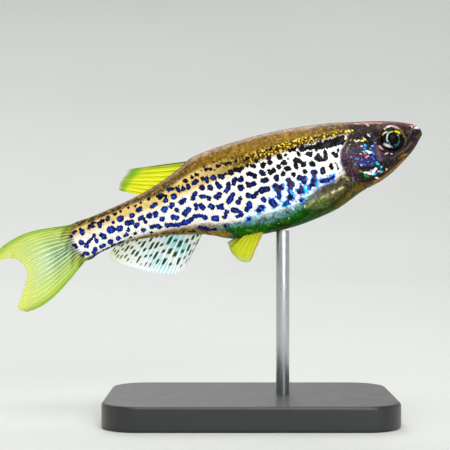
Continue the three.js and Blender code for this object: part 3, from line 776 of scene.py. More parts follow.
# Each spark: colour, radius, and its line. Most are painted glints; the gold and rust flecks are the skin's
# own colour.
SPARKS = [
    # Gold flecks of the nape, and pale flecks behind the eye that are painted glints.
    ("ecdc3c", 0.14, [(6.88, 2.26), (6.72, 2.26)]),
    ("f7ecb0", 0.1, [(6.66, 2.08)]),
    ("f0e020", 0.12, [(6.4, 2.16)]),
    ("a8401a", 0.07, [(6.55, 1.84), (6.45, 1.86)]),
    ("f4efc8", 0.13, [(7.32, 1.62), (7.2, 1.78)]),
    ("c9c48a", 0.09, [(7, 1.96)]),
    ("98a038", 0.13, [(6.88, 1.28)]),
    ("c8c878", 0.12, [(6.5, 1.18), (6.42, 1.06)]),
    ("e6f0d8", 0.11, [(6.25, 1), (6.1, 1.04)]),
    ("e6e67c", 0.11, [(5.88, 0.92), (5.72, 0.85)]),
    ("dede6a", 0.12, [(5.62, 1.1), (5.5, 0.9)]),
    ("b4c98c", 0.1, [(7.12, 0.92)]),
    ("b9c6c2", 0.12, [(5.12, 1.34), (4.98, 1.12)]),
    ("c3cbc8", 0.08, [(4.8, 1.32)]),
    ("dccfc8", 0.08, [(4.65, 0.34)]),
    # The gill cover.
    ("ecd9a0", 0.11, [(6.02, 0.46)]),
    ("23b7d4", 0.13, [(5.66, 0.4)]),
    ("2448e6", 0.12, [(5.82, 0.28), (5.68, 0.16)]),
    ("c4a8ff", 0.08, [(5.88, 0.14)]),
    ("e8ecff", 0.1, [(5.04, 0.12)]),
    ("2456ff", 0.14, [(4.9, 0.14)]),
    ("6ee9ea", 0.14, [(5.98, -0.16)]),
    ("e8e0d0", 0.1, [(6.34, -0.28)]),
    ("9fffe2", 0.12, [(5.72, -0.14), (5.62, -0.24)]),
    ("ffffff", 0.18, [(5.58, -0.32), (5.48, -0.46)]),
    ("45c6b4", 0.1, [(5.3, -0.08)]),
    ("1886f2", 0.13, [(5.2, -0.42), (5.12, -0.66)]),
    ("2062e4", 0.13, [(5.44, -0.86), (5.36, -1)]),
    ("1a7cf0", 0.12, [(5.28, -1.16)]),
    ("b8487a", 0.13, [(6, -0.4), (5.9, -0.46)]),
    ("8c1a38", 0.09, [(6.32, -0.56)]),
    ("d488a6", 0.13, [(6, -0.74), (5.72, -0.72)]),
    ("9d7183", 0.11, [(6.45, -0.84)]),
    ("8070c4", 0.12, [(7.32, -0.25)]),
    ("4f719c", 0.14, [(6.96, -0.56), (6.76, -0.64)]),
    ("3d7f9e", 0.15, [(7.24, -1.02), (7.12, -1.14)]),
    ("c0b2f2", 0.1, [(6.72, -1.28), (6.56, -1.36)]),
    ("4472ff", 0.13, [(6.28, -1.4)]),
    ("5b7fb8", 0.12, [(5.9, -1.24)]),
    ("3f6a9a", 0.12, [(5.7, -1.6), (5.5, -1.5)]),
    # The bright arc under the cover, a painted highlight, then its cyan corner and the green glints.
    ("ffffff", 0.16, [(6.58, -2.12), (6.36, -2.22), (6.14, -2.36), (5.9, -2.46)]),
    ("ffffff", 0.19, [(5.76, -2.36), (5.56, -2.24), (5.38, -2.08)]),
    ("e9b6c2", 0.11, [(5.98, -2.2), (5.8, -2.12)]),
    ("3fd8ee", 0.12, [(5.76, -2.58), (5.6, -2.6)]),
    ("2a56e0", 0.08, [(5.44, -2.52)]),
    ("f6d8e4", 0.1, [(5.26, -2.46), (5.14, -2.44)]),
    ("4fe0ee", 0.13, [(5.02, -2.58), (4.92, -2.6)]),
    ("22c6f8", 0.17, [(5.14, -1.62), (5.02, -1.78)]),
    ("52e0f0", 0.14, [(4.82, -2.1)]),
    ("2f9aa8", 0.1, [(4.92, -2.3)]),
    ("4a9a3a", 0.14, [(6.92, -1.84), (6.82, -1.98)]),
    ("0a9a22", 0.13, [(6.62, -2.4), (6.36, -2.62)]),
    ("f4f8f6", 0.11, [(5.68, -2.98), (5.5, -3.08)]),
    ("e2eaea", 0.11, [(4.42, -2.52)]),
    ("c27c78", 0.11, [(7.86, -2.26), (7.8, -2.38)]),
    ("5a7aa4", 0.14, [(7.78, -2.58)]),
    ("47597c", 0.12, [(7.36, -2.58)]),
    # Painted highlights over the top of the eye, and marks on the cheek.
    ("fff4ee", 0.09, [(3.1, 1.42), (2.8, 1.4)]),
    ("e2a6a2", 0.08, [(2.4, 1.22), (2.2, 1.06)]),
    ("d4a3b0", 0.1, [(4.4, -0.1), (4.28, -0.34), (4.2, -0.5)]),
    ("e0c0c8", 0.09, [(4.12, -1.04), (3.84, -1)]),
    ("dcb2ba", 0.08, [(3.62, -1.14), (3.42, -1.26)]),
    ("d9a48c", 0.12, [(4.9, 2.32), (4.78, 2.12)]),
    # Snout and jaw tip, with painted highlights on the tip of the snout and of the jaw.
    ("e6b0a4", 0.1, [(0.8, 0.8), (0.72, 0.68)]),
    ("e8dca0", 0.07, [(0.78, 0.6)]),
    ("a8502e", 0.1, [(1.02, 0.92)]),
    ("e8e8ff", 0.17, [(0.42, 0.5), (0.28, 0.44)]),
    ("8d93c0", 0.1, [(0.14, 0.32)]),
    ("2b3358", 0.1, [(0.04, 0.1)]),
    ("d69a28", 0.08, [(2.3, -1.68)]),
    # Lights at the lower ends of the bars.
    ("19d8fa", 0.17, [(12.6, -1.95), (12.45, -2.3)]),
    ("10c0ff", 0.15, [(11.35, -1.7), (11.42, -2.1)]),
    ("2ac8ff", 0.12, [(14.02, -1.55), (13.96, -1.95)]),
    ("22b4ff", 0.1, [(15.16, -2.12), (15.3, -2.16)]),
    ("1c7cff", 0.12, [(12.2, -1.6), (12.3, -2.05)]),
    ("1c7cff", 0.11, [(12.2, -0.85), (12.1, -1)]),
    ("1a6cff", 0.12, [(11.1, -1.45), (10.8, -1.42)]),
    ("1a6cff", 0.1, [(10, -1.44), (9.7, -1.4)]),
    ("24a8ff", 0.09, [(15.5, -0.85), (15.62, -0.8)]),
    ("24a8ff", 0.1, [(14.52, -0.8), (14.56, -1)]),
    ("18c4ff", 0.12, [(14.7, -2.84), (15, -2.98)]),
    ("30d8f4", 0.1, [(13.85, -2.6), (13.8, -2.8)]),
    ("58e8f0", 0.11, [(12.85, -2.76), (12.7, -2.85)]),
    ("c8ee60", 0.08, [(12.9, -2.66), (12.75, -2.64)]),
    ("24c0ff", 0.11, [(17.7, -2.72), (17.4, -2.78)]),
    ("20a0ff", 0.1, [(18.5, -2.16), (18.35, -2.2)]),
    ("a84868", 0.06, [(13.9, -1.2), (13.92, -1.35)]),
    ("7a4a5a", 0.1, [(12.5, -0.95), (12.42, -1)]),
    ("2a74f4", 0.09, [(17.4, -2.28), (17.24, -2.4)]),
    ("1a50d8", 0.1, [(16.02, -2.02), (15.96, -2.4)]),
    ("1a60e8", 0.09, [(14.78, -2.62), (14.6, -2.6)]),
    ("1a50d8", 0.08, [(10.42, -0.62), (10.4, -0.78)]),
    ("1a50d8", 0.08, [(15.3, -1.5), (15.26, -1.85)]),
    ("1a50d8", 0.08, [(12.86, -0.62), (12.76, -0.7)]),
    # White and cyan specks on the lower flank and belly.
    ("f2f6ea", 0.08, [(13.2, -3.55), (13.12, -3.4)]),
    ("f2f6ea", 0.07, [(12.05, -3.72)]),
    ("e9f4e4", 0.09, [(15, -4.1)]),
    ("e9f4e4", 0.07, [(16.1, -4.25)]),
    ("bfeef0", 0.1, [(14.4, -3.2), (14.3, -3.4)]),
    ("5fd4e0", 0.1, [(15.6, -3), (15.4, -3.1)]),
    ("63c9e6", 0.1, [(18.2, -3), (18, -3.1)]),
    ("e8a8a8", 0.07, [(14.6, -3.4)]),
    ("e8a8a8", 0.07, [(16.4, -3.3)]),
    ("bfe4dc", 0.09, [(17.2, -2.95)]),
    ("8fd8d8", 0.08, [(16.7, -3.15)]),
    ("d8ece4", 0.08, [(19.4, -2.9), (19.3, -3)]),
]
LEFT_WANDER = 0.06
WASH_SOFT = 0.8
RIM_FADE = 0.8
RIM_BAND = 0.12
SPARK_SWELL = 1.25


def strokes_per_side(strokes, left):
    """Each stroke's line for the right side's vertices, then moved a little for the left side's."""
    draw = np.random.default_rng(7)
    for *look, line in strokes:
        yield *look, ~left, line
        yield *look, left, np.array(line) + draw.normal(0, LEFT_WANDER, 2)


def washed_ground(seen, ahead, left):
    """The ground colour with every wash laid on it. Washes fade on the flat of the back and the belly."""
    plain = ground_at(seen.station, seen.height, ahead)
    ground = plain.copy()
    for code, radius, strength, rows, line in strokes_per_side(WASHES, left):
        cover = Canvas(seen.station[rows], seen.height[rows]).stroke(line, radius, soft=WASH_SOFT)
        ground[rows] = mixed(ground[rows], colour(code), strength * cover)
    rim_gap = np.minimum(back_at(seen.station) - seen.height, seen.height - belly_at(seen.station))
    return mixed(ground, plain, RIM_FADE * smooth((RIM_BAND - rim_gap) / RIM_BAND))


def sparks_at(seen, left):
    """How strongly a spark covers each vertex, and the spark's colour."""
    strength = np.zeros(seen.station.shape)
    tint = np.zeros((len(strength), 3))
    for code, radius, rows, line in strokes_per_side(SPARKS, left):
        cover = Canvas(seen.station[rows], seen.height[rows]).stroke(line, SPARK_SWELL * radius, soft=1)
        wins = cover > strength[rows]
        places = np.flatnonzero(rows)[wins]
        strength[places] = cover[wins]
        tint[places] = colour(code)[:3]
    return strength, tint


print("washes and sparks:", len(WASHES), len(SPARKS))

# %% [markdown]
# ## Laying out the leopard spots
#
# The spots are islands of dark pigment cells. Like cells crowd together and push other islands away, so the
# spots stand at an even distance, in loose rows that follow the body: six rows behind the head and three on
# the tail stalk. A tiled texture would show its repeat. Instead, every spot is one short bean, from one
# place to another with a radius, and beans that touch melt into the dumbbells and zigzags that such a fish
# shows. Near the front the lowest row stretches into blue bars. The far side has the same rows, each spot
# moved a little.

# %% Lay out the spots row by row
# Each bean: station and height of its one end, station and height of its other end, and its radius.
SPOT_ROWS = [
    # The dark streak behind the gill cover, and the row under the gold line.
    [
        (7.5, 1.6, 8.3, 1.6, 0.36), (8.3, 1.6, 9.3, 1.66, 0.34), (9.2, 1.64, 10.2, 1.74, 0.25),
        (10.2, 1.76, 11, 1.82, 0.17), (11.45, 1.9, 11.8, 1.95, 0.25), (12.1, 1.8, 12.13, 1.38, 0.12),
        (12.35, 2.2, 12.95, 2.25, 0.13), (13.25, 1.9, 13.45, 1.95, 0.12), (13.25, 1.55, 13.3, 1.42, 0.07),
        (14, 2.1, 14, 1.75, 0.2), (15, 2.15, 15.1, 2.15, 0.19), (14.9, 1.7, 15.25, 1.66, 0.17),
        (15.75, 1.7, 15.8, 1.6, 0.25), (16.25, 2.25, 16.3, 2.15, 0.17), (16.6, 1.9, 16.9, 1.9, 0.18),
        (17.2, 2.05, 17.3, 2, 0.14), (17.7, 2, 17.9, 1.98, 0.12), (18.1, 1.85, 18.5, 2.1, 0.2),
        (19, 2.1, 19, 1.77, 0.2), (19.55, 2, 19.6, 2, 0.1), (19.85, 1.7, 20.2, 2, 0.2),
        (20.8, 2, 20.82, 1.98, 0.25), (21.45, 2.2, 21.5, 1.75, 0.17), (21.85, 2.25, 21.9, 2.2, 0.17),
        (22.35, 2.2, 22.9, 2.05, 0.18), (23.4, 2.05, 23.4, 1.78, 0.19), (23.85, 1.92, 23.95, 1.86, 0.2),
        (24.4, 1.78, 24.55, 2.2, 0.17), (25.1, 2.2, 25.4, 2.2, 0.14), (25.3, 2.28, 25.4, 2.28, 0.1),
        (26.1, 2.05, 26.4, 2, 0.12),
    ],
    # The upper rows of the flank.
    [
        (8.65, 0.25, 8.95, 0.65, 0.19), (9.6, 1, 9.78, 0.25, 0.15), (9.85, 0.25, 10.2, 0.4, 0.1),
        (8.25, 0.95, 8.4, 0.6, 0.05), (8.98, -0.32, 8.82, -0.7, 0.03), (8.84, -0.8, 9, -1.08, 0.02),
        (10.35, 0.9, 10.4, 0.4, 0.2), (10.5, 0.7, 10.72, 0.65, 0.14), (11, 1.2, 11.35, 1.4, 0.18),
        (11.05, 1.2, 11.08, 0.98, 0.12), (12.3, 0.85, 12.65, 1.28, 0.2), (12.72, 0.8, 12.75, 0.35, 0.18),
        (13.7, 1.3, 13.8, 1.22, 0.24), (14.3, 0.9, 14.45, 1.1, 0.19), (14.9, 0.85, 15.4, 0.7, 0.22),
        (15.35, 1, 15.4, 0.9, 0.12), (15.95, 0.75, 16.25, 1.15, 0.2), (16.85, 0.8, 17.1, 1.15, 0.18),
        (17.15, 1.2, 17.55, 1.3, 0.19), (18.15, 0.93, 18.5, 1.02, 0.2), (18.1, 1.15, 18.2, 1.2, 0.12),
        (18.7, 1.15, 18.95, 1.22, 0.11), (18.95, 1.15, 19.12, 0.75, 0.16), (19.6, 1.02, 19.72, 0.65, 0.18),
        (19.75, 0.5, 20.1, 0.36, 0.17), (20.5, 0.92, 20.55, 1.25, 0.18), (20.6, 1.35, 20.7, 1.38, 0.14),
        (21.35, 1.02, 21.45, 1.28, 0.23), (22.1, 1.28, 22.2, 1.5, 0.2), (22.95, 1.18, 23.1, 0.95, 0.2),
        (23.2, 0.85, 23.45, 0.62, 0.17), (25, 1.4, 25.1, 1.55, 0.26), (25.9, 1.35, 26, 1.32, 0.2),
        (26.9, 1.3, 27.5, 1.15, 0.17), (28.5, 1.35, 28.85, 1.26, 0.19), (29.5, 0.97, 29.53, 0.93, 0.19),
        (30.5, 1.05, 30.9, 0.95, 0.21), (31.45, 0.9, 31.5, 0.88, 0.15), (31.8, 1.4, 32.05, 1.3, 0.16),
        (32.8, 1.28, 32.85, 0.85, 0.18), (33.4, 1.16, 33.5, 1.14, 0.14), (33.85, 1.1, 34, 1.05, 0.14),
        (34.6, 0.97, 34.78, 0.87, 0.22), (35.35, 1.15, 35.5, 1.1, 0.14), (35.85, 0.9, 35.9, 0.88, 0.14),
    ],
    # The rows along the middle.
    [
        (11.1, 0.15, 11.2, 0.35, 0.23), (11.92, 0.42, 12.05, 0.6, 0.23), (13.4, 0.52, 13.8, 0.64, 0.19),
        (14.1, 0.28, 14.3, 0.2, 0.2), (14.93, 0.18, 14.95, -0.08, 0.22), (15.85, 0.15, 16.4, 0.24, 0.2),
        (17.1, 0.18, 17.85, 0.22, 0.19), (17.75, 0.45, 17.8, 0.4, 0.15), (18.5, 0.08, 18.65, 0.32, 0.22),
        (18.35, 0.42, 18.4, 0.4, 0.11), (20.72, 0.28, 21.12, 0.06, 0.24), (21.8, 0.15, 21.92, 0.38, 0.18),
        (22.15, 0.48, 22.55, 0.62, 0.17), (23.25, 0.1, 23.35, -0.38, 0.15), (24.15, 0.92, 24.2, 0.6, 0.17),
        (24.45, 0.65, 24.62, 0.7, 0.2), (25.05, 0.02, 25.3, 0.22, 0.16), (25.35, 0.78, 25.7, 0.56, 0.18),
        (26.2, 0.62, 26.42, 0.42, 0.25), (27.2, 0.5, 27.35, 0.15, 0.19), (27.85, 0.4, 27.95, 0.38, 0.25),
        (28.45, -0.04, 28.5, -0.06, 0.16), (28.55, 0.45, 28.95, 0.4, 0.19), (28.55, 0.25, 28.6, 0.1, 0.1),
        (29.65, 0.3, 30.3, 0.4, 0.2), (30.95, 0.08, 31.2, 0.12, 0.26), (31.5, 0.2, 31.6, 0.2, 0.1),
        (31.9, 0.26, 32, 0.2, 0.33), (32.75, -0.3, 32.95, 0.1, 0.24), (33.65, 0.28, 33.7, 0.2, 0.15),
        (33.9, 0.08, 34.5, -0.26, 0.1), (34.95, -0.06, 35.2, 0.02, 0.2), (34.6, -0.48, 34.75, -0.5, 0.19),
        (35.65, -0.35, 35.85, 0.05, 0.14), (33.6, -0.38, 33.62, -0.36, 0.19),
    ],
    # The lower rows.
    [
        (9.5, -0.38, 9.5, -0.78, 0.15), (10.35, -0.52, 10.45, -0.85, 0.23),
        (13.2, -0.06, 13.2, -0.28, 0.17), (12.02, -0.18, 12.2, -0.28, 0.19),
        (16.1, -0.68, 16.8, -0.65, 0.24), (15.98, -0.8, 16.05, -0.85, 0.14),
        (17.2, -0.76, 17.25, -0.75, 0.15), (17.4, -0.95, 17.7, -0.95, 0.18),
        (17.9, -0.82, 18.2, -0.66, 0.2), (18.9, -0.72, 19.3, -1.14, 0.21), (19.5, -0.12, 20.2, -0.76, 0.18),
        (19.7, -0.4, 20.1, -0.65, 0.22), (20.8, -0.72, 20.95, -1.2, 0.14),
        (20.98, -1.18, 21.28, -0.8, 0.14), (21.75, -0.8, 21.95, -0.46, 0.21),
        (22.65, -0.6, 22.8, -0.04, 0.19), (24, -0.16, 24.55, -0.45, 0.21), (24.3, -0.4, 24.6, -0.5, 0.23),
        (25.4, -0.62, 25.85, -0.42, 0.22), (26.78, -0.28, 26.85, -0.3, 0.21),
        (29.25, -0.05, 29.5, -0.25, 0.17), (30.3, -0.2, 30.3, -0.32, 0.16),
    ],
    # The lowest row, which runs on to the tail.
    [
        (16.75, -1.72, 16.85, -1.48, 0.2), (18.1, -1.62, 18.35, -1.42, 0.18),
        (18.15, -1.75, 18.75, -2.05, 0.19), (19.55, -1.85, 20, -1.58, 0.19),
        (19.4, -1.95, 19.3, -2.35, 0.18), (19.5, -2.3, 19.85, -2.35, 0.12),
        (20.5, -1.5, 20.75, -1.85, 0.17), (20.8, -1.95, 21.1, -2.06, 0.17),
        (21.7, -1.95, 22.05, -1.75, 0.24), (22.75, -1.35, 22.85, -1.55, 0.2),
        (23, -1.2, 23.85, -1.05, 0.16), (23.85, -1.1, 24.3, -1.34, 0.15), (24.3, -1.32, 24.8, -1.36, 0.2),
        (24.7, -1.2, 25.05, -1.35, 0.18), (25.1, -1.36, 25.7, -1.3, 0.16), (25.7, -1.28, 26.7, -0.98, 0.17),
        (27.3, -1.02, 27.45, -0.75, 0.2), (27.75, -0.68, 28.15, -0.7, 0.17),
        (28.85, -0.72, 28.95, -0.8, 0.22), (29.75, -0.76, 29.8, -0.9, 0.13),
        (30.6, -0.68, 30.8, -0.74, 0.17), (31.4, -0.76, 31.6, -0.72, 0.22),
        (32.2, -0.84, 32.45, -0.84, 0.2), (32.95, -0.98, 33.4, -1.06, 0.17),
        (33.9, -1.06, 34.25, -1.34, 0.19), (34.75, -1.28, 35.1, -1.1, 0.17),
    ],
    # Dark specks at the edge of the belly and the tail stalk.
    [
        (21.1, -2.95, 21.3, -2.8, 0.13), (22.1, -2.86, 22.4, -2.84, 0.12), (22.75, -2.6, 22.9, -2.7, 0.1),
        (23.05, -2.45, 23.7, -2.2, 0.15), (24.1, -2.46, 24.75, -2.28, 0.09),
        (25.3, -2.25, 25.5, -2.2, 0.09), (26.1, -2, 26.3, -1.95, 0.08), (27.1, -1.7, 27.3, -1.72, 0.07),
        (28.2, -1.2, 28.3, -1.2, 0.1), (30.25, -1.06, 30.35, -1.06, 0.1), (31, -1.22, 32.4, -1.3, 0.06),
        (32.6, -1.34, 34.5, -1.72, 0.07), (35.3, -1.4, 35.6, -1.4, 0.12), (36.45, -0.4, 36.5, -0.4, 0.1),
    ],
]
# The front of the lowest row, with blue edges.
BARS = [
    (9.5, -1.58, 10, -1.66, 0.1), (10.1, -1.74, 10.9, -1.6, 0.15), (11.12, -0.6, 11.4, -0.58, 0.21),
    (11.3, -0.9, 11.35, -1.05, 0.1), (11.55, -1.25, 11.6, -1.75, 0.23), (11.9, -1.6, 12.25, -1.95, 0.13),
    (12.72, -0.66, 12.8, -0.58, 0.22), (12.4, -0.85, 12.5, -1.22, 0.2), (12.2, -0.7, 12.25, -0.85, 0.1),
    (12.92, -1.42, 12.9, -1.75, 0.1), (12.85, -1.98, 13.3, -1.9, 0.2), (13.92, -0.42, 13.8, -0.7, 0.17),
    (13.72, -0.95, 13.85, -1.08, 0.3), (14, -1.3, 14.08, -1.8, 0.13), (14.15, -2.02, 14.25, -2.28, 0.22),
    (15.28, -0.6, 15.35, -0.7, 0.2), (15.05, -0.98, 15.2, -1.05, 0.3), (14.68, -0.85, 14.75, -1.05, 0.2),
    (15.2, -1.45, 15.3, -1.95, 0.15), (14.6, -2.58, 15, -2.74, 0.18), (13.15, -2.8, 13.45, -2.8, 0.1),
    (15.88, -2.42, 16.15, -1.98, 0.27), (17.15, -2.2, 17.65, -2.5, 0.21), (18.75, -2.95, 18.8, -2.95, 0.15),
]

# %% [markdown]
# ## From beans to marks
#
# Thin lines of specks join the rows of spots, dark towards the back and on the tail stalk. They stand at a
# loose pitch, so they are drawn at random, with a fixed seed. Then each bean is swelled a little and pulled
# in at its ends, so that neighbours touch or stay apart as the real ones do. It gets its blueness, which
# grows towards the tail and the belly, and it is put onto the skin from where it is seen.

# %% Turn the beans into marks
SPOT, BAR, SPECK = 0, 1, -1
SPOT_SWELL = 0.062
SPOT_PULL = 0.08
# How blue a spot is grows from a station, over a reach, and falls off towards the back.
BLUE_START = 13.75
BLUE_REACH = 11
BLUE_LEAN = 0.16
BLUE_UNEVEN = 0.1
SPECK_BLUE = 0.05
BAR_BLUE = 0.3
FAR_SIDE_WANDER = 0.13
PITCH_WANDER = 0.2
SPECK_TILT = 0.04
# Each line of specks: where it starts and ends, its pitch, its height and how far that wanders, then the
# least and greatest radius of a speck and half of its greatest length.
SPECK_LINES = [
    (7.6, 22, 0.3, lambda s: BACK_LINE(s) - 0.25, 0.2, 0.0, 0.07, 0.09),
    (7.8, 11.6, 0.3, lambda s: 1.24 + 0.07 * (s - 8), 0.04, 0.0, 0.05, 0.03),
    (7.8, 12.5, 0.26, lambda s: 1.96 + 0.06 * (s - 8), 0.06, 0.0, 0.06, 0.05),
    (14, 20, 0.6, lambda s: BACK_LINE(s) - 0.36, 0.09, 0.04, 0.12, 0.12),
    (20, 27, 0.72, lambda s: BACK_LINE(s) - 0.3, 0.05, 0.1, 0.17, 0.14),
    (26, 36, 0.72, lambda s: BACK_LINE(s) - 0.12, 0.06, 0.06, 0.13, 0.18),
]


def wandering_line(draw, start, end, pitch, line_at, wander):
    """Places along a line that follows the body, about a pitch apart."""
    along = np.arange(start, end, pitch)
    along = along + draw.normal(0, PITCH_WANDER * pitch, len(along))
    return np.stack([along, line_at(along) + draw.normal(0, wander, len(along))], 1)


def specks_for(draw):
    """The beans of one side's specks."""
    lines = [(wandering_line(draw, *line[:5]), *line[5:]) for line in SPECK_LINES]
    for line, least, most, half_long in lines:
        for s, h in line:
            ds, dh = draw.uniform(-half_long, half_long), draw.uniform(-SPECK_TILT, SPECK_TILT)
            yield s - ds, h - dh, s + ds, h + dh, draw.uniform(least, most), SPECK


def marks_for(seed, wander):
    """One side's marks, one per row: station and level of both ends, radius, blueness and share of bar."""
    draw = np.random.default_rng(seed)
    beans = [(*bean, SPOT) for row in SPOT_ROWS for bean in row] + [(*bean, BAR) for bean in BARS]
    marks = np.array(beans + list(specks_for(draw)))
    start, end, kind = marks[:, :2], marks[:, 2:4], marks[:, 5]
    half = (end - start) / 2
    long = np.linalg.norm(half, axis=1, keepdims=True)
    half *= np.clip(1 - SPOT_PULL / np.maximum(long, 1e-9), 0, 1)
    middle = (start + end) / 2 + draw.normal(0, wander, (len(marks), 2))
    uneven = draw.normal(0, BLUE_UNEVEN, len(marks))
    blue = ((middle[:, 0] - BLUE_START) / BLUE_REACH - BLUE_LEAN * middle[:, 1] + uneven).clip(0, 1)
    bar_blue = BAR_BLUE + (1 - BAR_BLUE) * rising(middle[:, 1], -0.3, -1.3)
    blue = np.select([kind == BAR, kind == SPECK], [bar_blue, SPECK_BLUE], blue)
    placed = [np.stack(onto_skin(*seen_at.T), 1) for seen_at in (middle - half, middle + half)]
    return np.column_stack([*placed, marks[:, 4] + SPOT_SWELL, blue, kind == BAR])


MARKS = {False: marks_for(seed=11, wander=0), True: marks_for(seed=23, wander=FAR_SIDE_WANDER)}
print("marks on the right and left:", len(MARKS[False]), len(MARKS[True]))

# %% [markdown]
# ## How deep a place lies inside a spot
#
# The finish needs one number for every vertex: how deep it lies inside the nearest spot, or how far outside
# it. Taking the nearest bean alone would leave a crease where two beans meet. A soft maximum over all beans
# near the vertex melts them together instead.

# %% Measure the spots at any place
MARK_REACH = 0.75
MELT = 0.03
FAR_OUTSIDE, FAR_INSIDE = -0.6, 0.4


def spots_at(station, level, left):
    """Depth inside a spot in millimetres, its blueness and its share of bar, at each place."""
    total, blueness, barred = (np.zeros(station.shape) for _ in range(3))
    for side, marks in MARKS.items():
        for s0, l0, s1, l1, radius, blue, bar in marks:
            near = (station > min(s0, s1) - MARK_REACH) & (station < max(s0, s1) + MARK_REACH)
            near &= (level > min(l0, l1) - MARK_REACH) & (level < max(l0, l1) + MARK_REACH)
            rows = np.flatnonzero(near & (left == side))
            if not len(rows):
                continue
            ds, dl = s1 - s0, l1 - l0
            ps, pl = station[rows] - s0, level[rows] - l0
            t = np.clip((ps * ds + pl * dl) / max(ds * ds + dl * dl, 1e-9), 0, 1)
            weight = np.exp((radius - np.hypot(ps - t * ds, pl - t * dl)) / MELT)
            total[rows] += weight
            blueness[rows] += weight * blue
            barred[rows] += weight * bar
    known = np.maximum(total, 1e-9)
    depth = np.clip(MELT * np.log(known), FAR_OUTSIDE, FAR_INSIDE)
    return depth, blueness / known, barred / known


print("spot depth at the streak:", np.round(spots_at(*(np.array([v]) for v in (8.6, 1.6, False)))[0], 2))

# %% [markdown]
# ## Scales as a relief
#
# A danio has about thirty thin round scales along its side, in staggered rows, each lying over the next
# like a roof tile. Separate plates would need a thousand small pieces that hide the markings under them.
# Here the scales are a relief of a few hundredths of a millimetre: every place lies so far ahead of the
# rear edge of the scale on top of it, and the skin rises towards that edge and drops behind it. The finish
# uses the same rule for its fine bumps, so it is written once for numbers and once for nodes.

# %% Work out the scales' relief
SCALE_PITCH = 1.04
SCALE_ROW = 0.95
SCALE_ARC = 0.5
SCALE_RISE = 0.025
SCALE_STEP = 0.12
SCALE_FALL = 0.8
SCALES_START, SCALES_END = 8, 36


def scale_relief(station, level):
    """0 just behind a scale's rear edge, 1 on the edge, and less again towards its root."""
    row = np.floor(level / SCALE_ROW)
    over = level / SCALE_ROW - row
    ahead = np.ones(station.shape)
    for step in (0, 1):
        shift = 0.5 * np.mod(row + step, 2) - SCALE_ARC * np.abs(step - over) ** 2
        ahead = np.minimum(ahead, np.mod(shift - station / SCALE_PITCH, 1))
    return smooth(ahead / SCALE_STEP) * (1 - SCALE_FALL * ahead)


print("scales along the side:", round((SCALES_END - SCALES_START) / SCALE_PITCH))

# %% [markdown]
# ## Putting the paint on a mesh
#
# One function works out every painted value for each vertex of the skin and stores it on the mesh as
# attributes. The shader reads them back. A value that changes evenly, such as the depth inside a spot,
# gives a sharp edge between vertices too, because the shader draws the spot's edge from it.

# %% Store paint as attributes
def store(mesh, name, values):
    """Keeps one number or one colour per vertex on a mesh."""
    if values.ndim == 1:
        mesh.attributes.new(name, "FLOAT", "POINT").data.foreach_set("value", values.astype(np.float32))
        return
    full = np.column_stack([values[:, :3], np.ones(len(values))]).astype(np.float32)
    mesh.color_attributes.new(name, "FLOAT_COLOR", "POINT").data.foreach_set("color", full.ravel())


def shine_at(station, height, ahead):
    """How much silver the skin holds: most on the flank and gill cover, least on the back and belly."""
    flank = rising(height - SILVER_LINE(station), -0.4, 0.2) * smooth((BACK_LINE(station) - height) / 0.3)
    cover = rising(height, -2.7, -2.2) * rising(height, 1.2, 0.6) * rising(station, 4.4, 4.8)
    head = rising(ahead, -0.05, 0.05)
    return flank * (1 - head) + 0.7 * cover * head + 0.12


def paint_fish(mesh, canvas, seen, level, left):
    """Stores the fish's markings on the mesh of its skin."""
    store(mesh, "station", canvas.station)
    store(mesh, "level", level)
    depth, blueness, barred = spots_at(canvas.station, level, left)
    ahead = signed_to_gill(canvas.station, canvas.height)
    behind_head = smooth(-ahead / 0.15)
    station, height = seen.station, seen.height
    store(mesh, "ground", washed_ground(seen, ahead, left))
    spark, spark_tint = sparks_at(seen, left)
    store(mesh, "spark", spark)
    store(mesh, "spark_tint", spark_tint)
    store(mesh, "spot", np.where(behind_head > 0, depth, FAR_OUTSIDE))
    store(mesh, "blueness", blueness)
    store(mesh, "bar", barred)
    store(mesh, "shine", shine_at(station, height, ahead))
    store(mesh, "back", rising(height - BACK_LINE(station), -0.1, 0.2) * behind_head)
    gold = rising(height - GOLD_LINE(station), -0.1, 0.3)
    gold *= smooth((BACK_LINE(station) + 0.25 - height) / 0.3)
    store(mesh, "gold", gold * behind_head)
    store(mesh, "front", rising(station, 21, 14))
    store(mesh, "belly", rising(SILVER_LINE(station) - height, -0.2, 0.2) * behind_head)
    store(mesh, "head", 1 - behind_head)


def add_piece(name, mesh, slot, *nodes):
    """A finished mesh as a piece of the model, riding on its one body."""
    piece = bpy.data.objects.new(name, mesh)
    bpy.context.collection.objects.link(piece)
    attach(piece, "root")
    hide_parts(*nodes)
    print(name, "triangles:", sum(len(p.vertices) - 2 for p in mesh.polygons))


# %% Finish the skin
SKIN_INSET = 0.03
SCALES_FADE_IN, SCALES_FADE_OUT = 0.4, 1.5
FLESH = [
    "head", "lower_jaw", "gill_cover_right", "gill_cover_left", "trunk_front", "trunk_rear", "tail_stalk",
]

canvas = Canvas(-place[:, 0], place[:, 2])
seen = Canvas(*as_seen(place))
scaled = smooth(-signed_to_gill(canvas.station, canvas.height) / SCALES_FADE_IN)
scaled *= smooth((SCALES_END - canvas.station) / SCALES_FADE_OUT)
push = sculpted(canvas, seen) - SKIN_INSET + SCALE_RISE * scaled * scale_relief(canvas.station, skin_level)
put(drum, place + outward * push[:, None])
bmesh.ops.transform(drum, matrix=TO_WORLD, verts=drum.verts)
skin_mesh = mesh_of(drum, "skin")
paint_fish(skin_mesh, canvas, seen, skin_level, place[:, 1] > 0)
store(skin_mesh, "scaled", scaled)
add_piece("skin", skin_mesh, "skin", *FLESH)

# %% [markdown]
# ## The skin's finish
#
# A danio's colour comes in layers: a ground of silver or gold platelets, dark pigment cells crowded into
# spots, and a wet clear film on top. The shader builds it the same way. Fine noise frays the spots' edges,
# the spots are darker at the rim and blue inside, and the wet film is the shader's clear coat. The stipple
# of the back is a pattern of tiny cells, each with one dark dot.

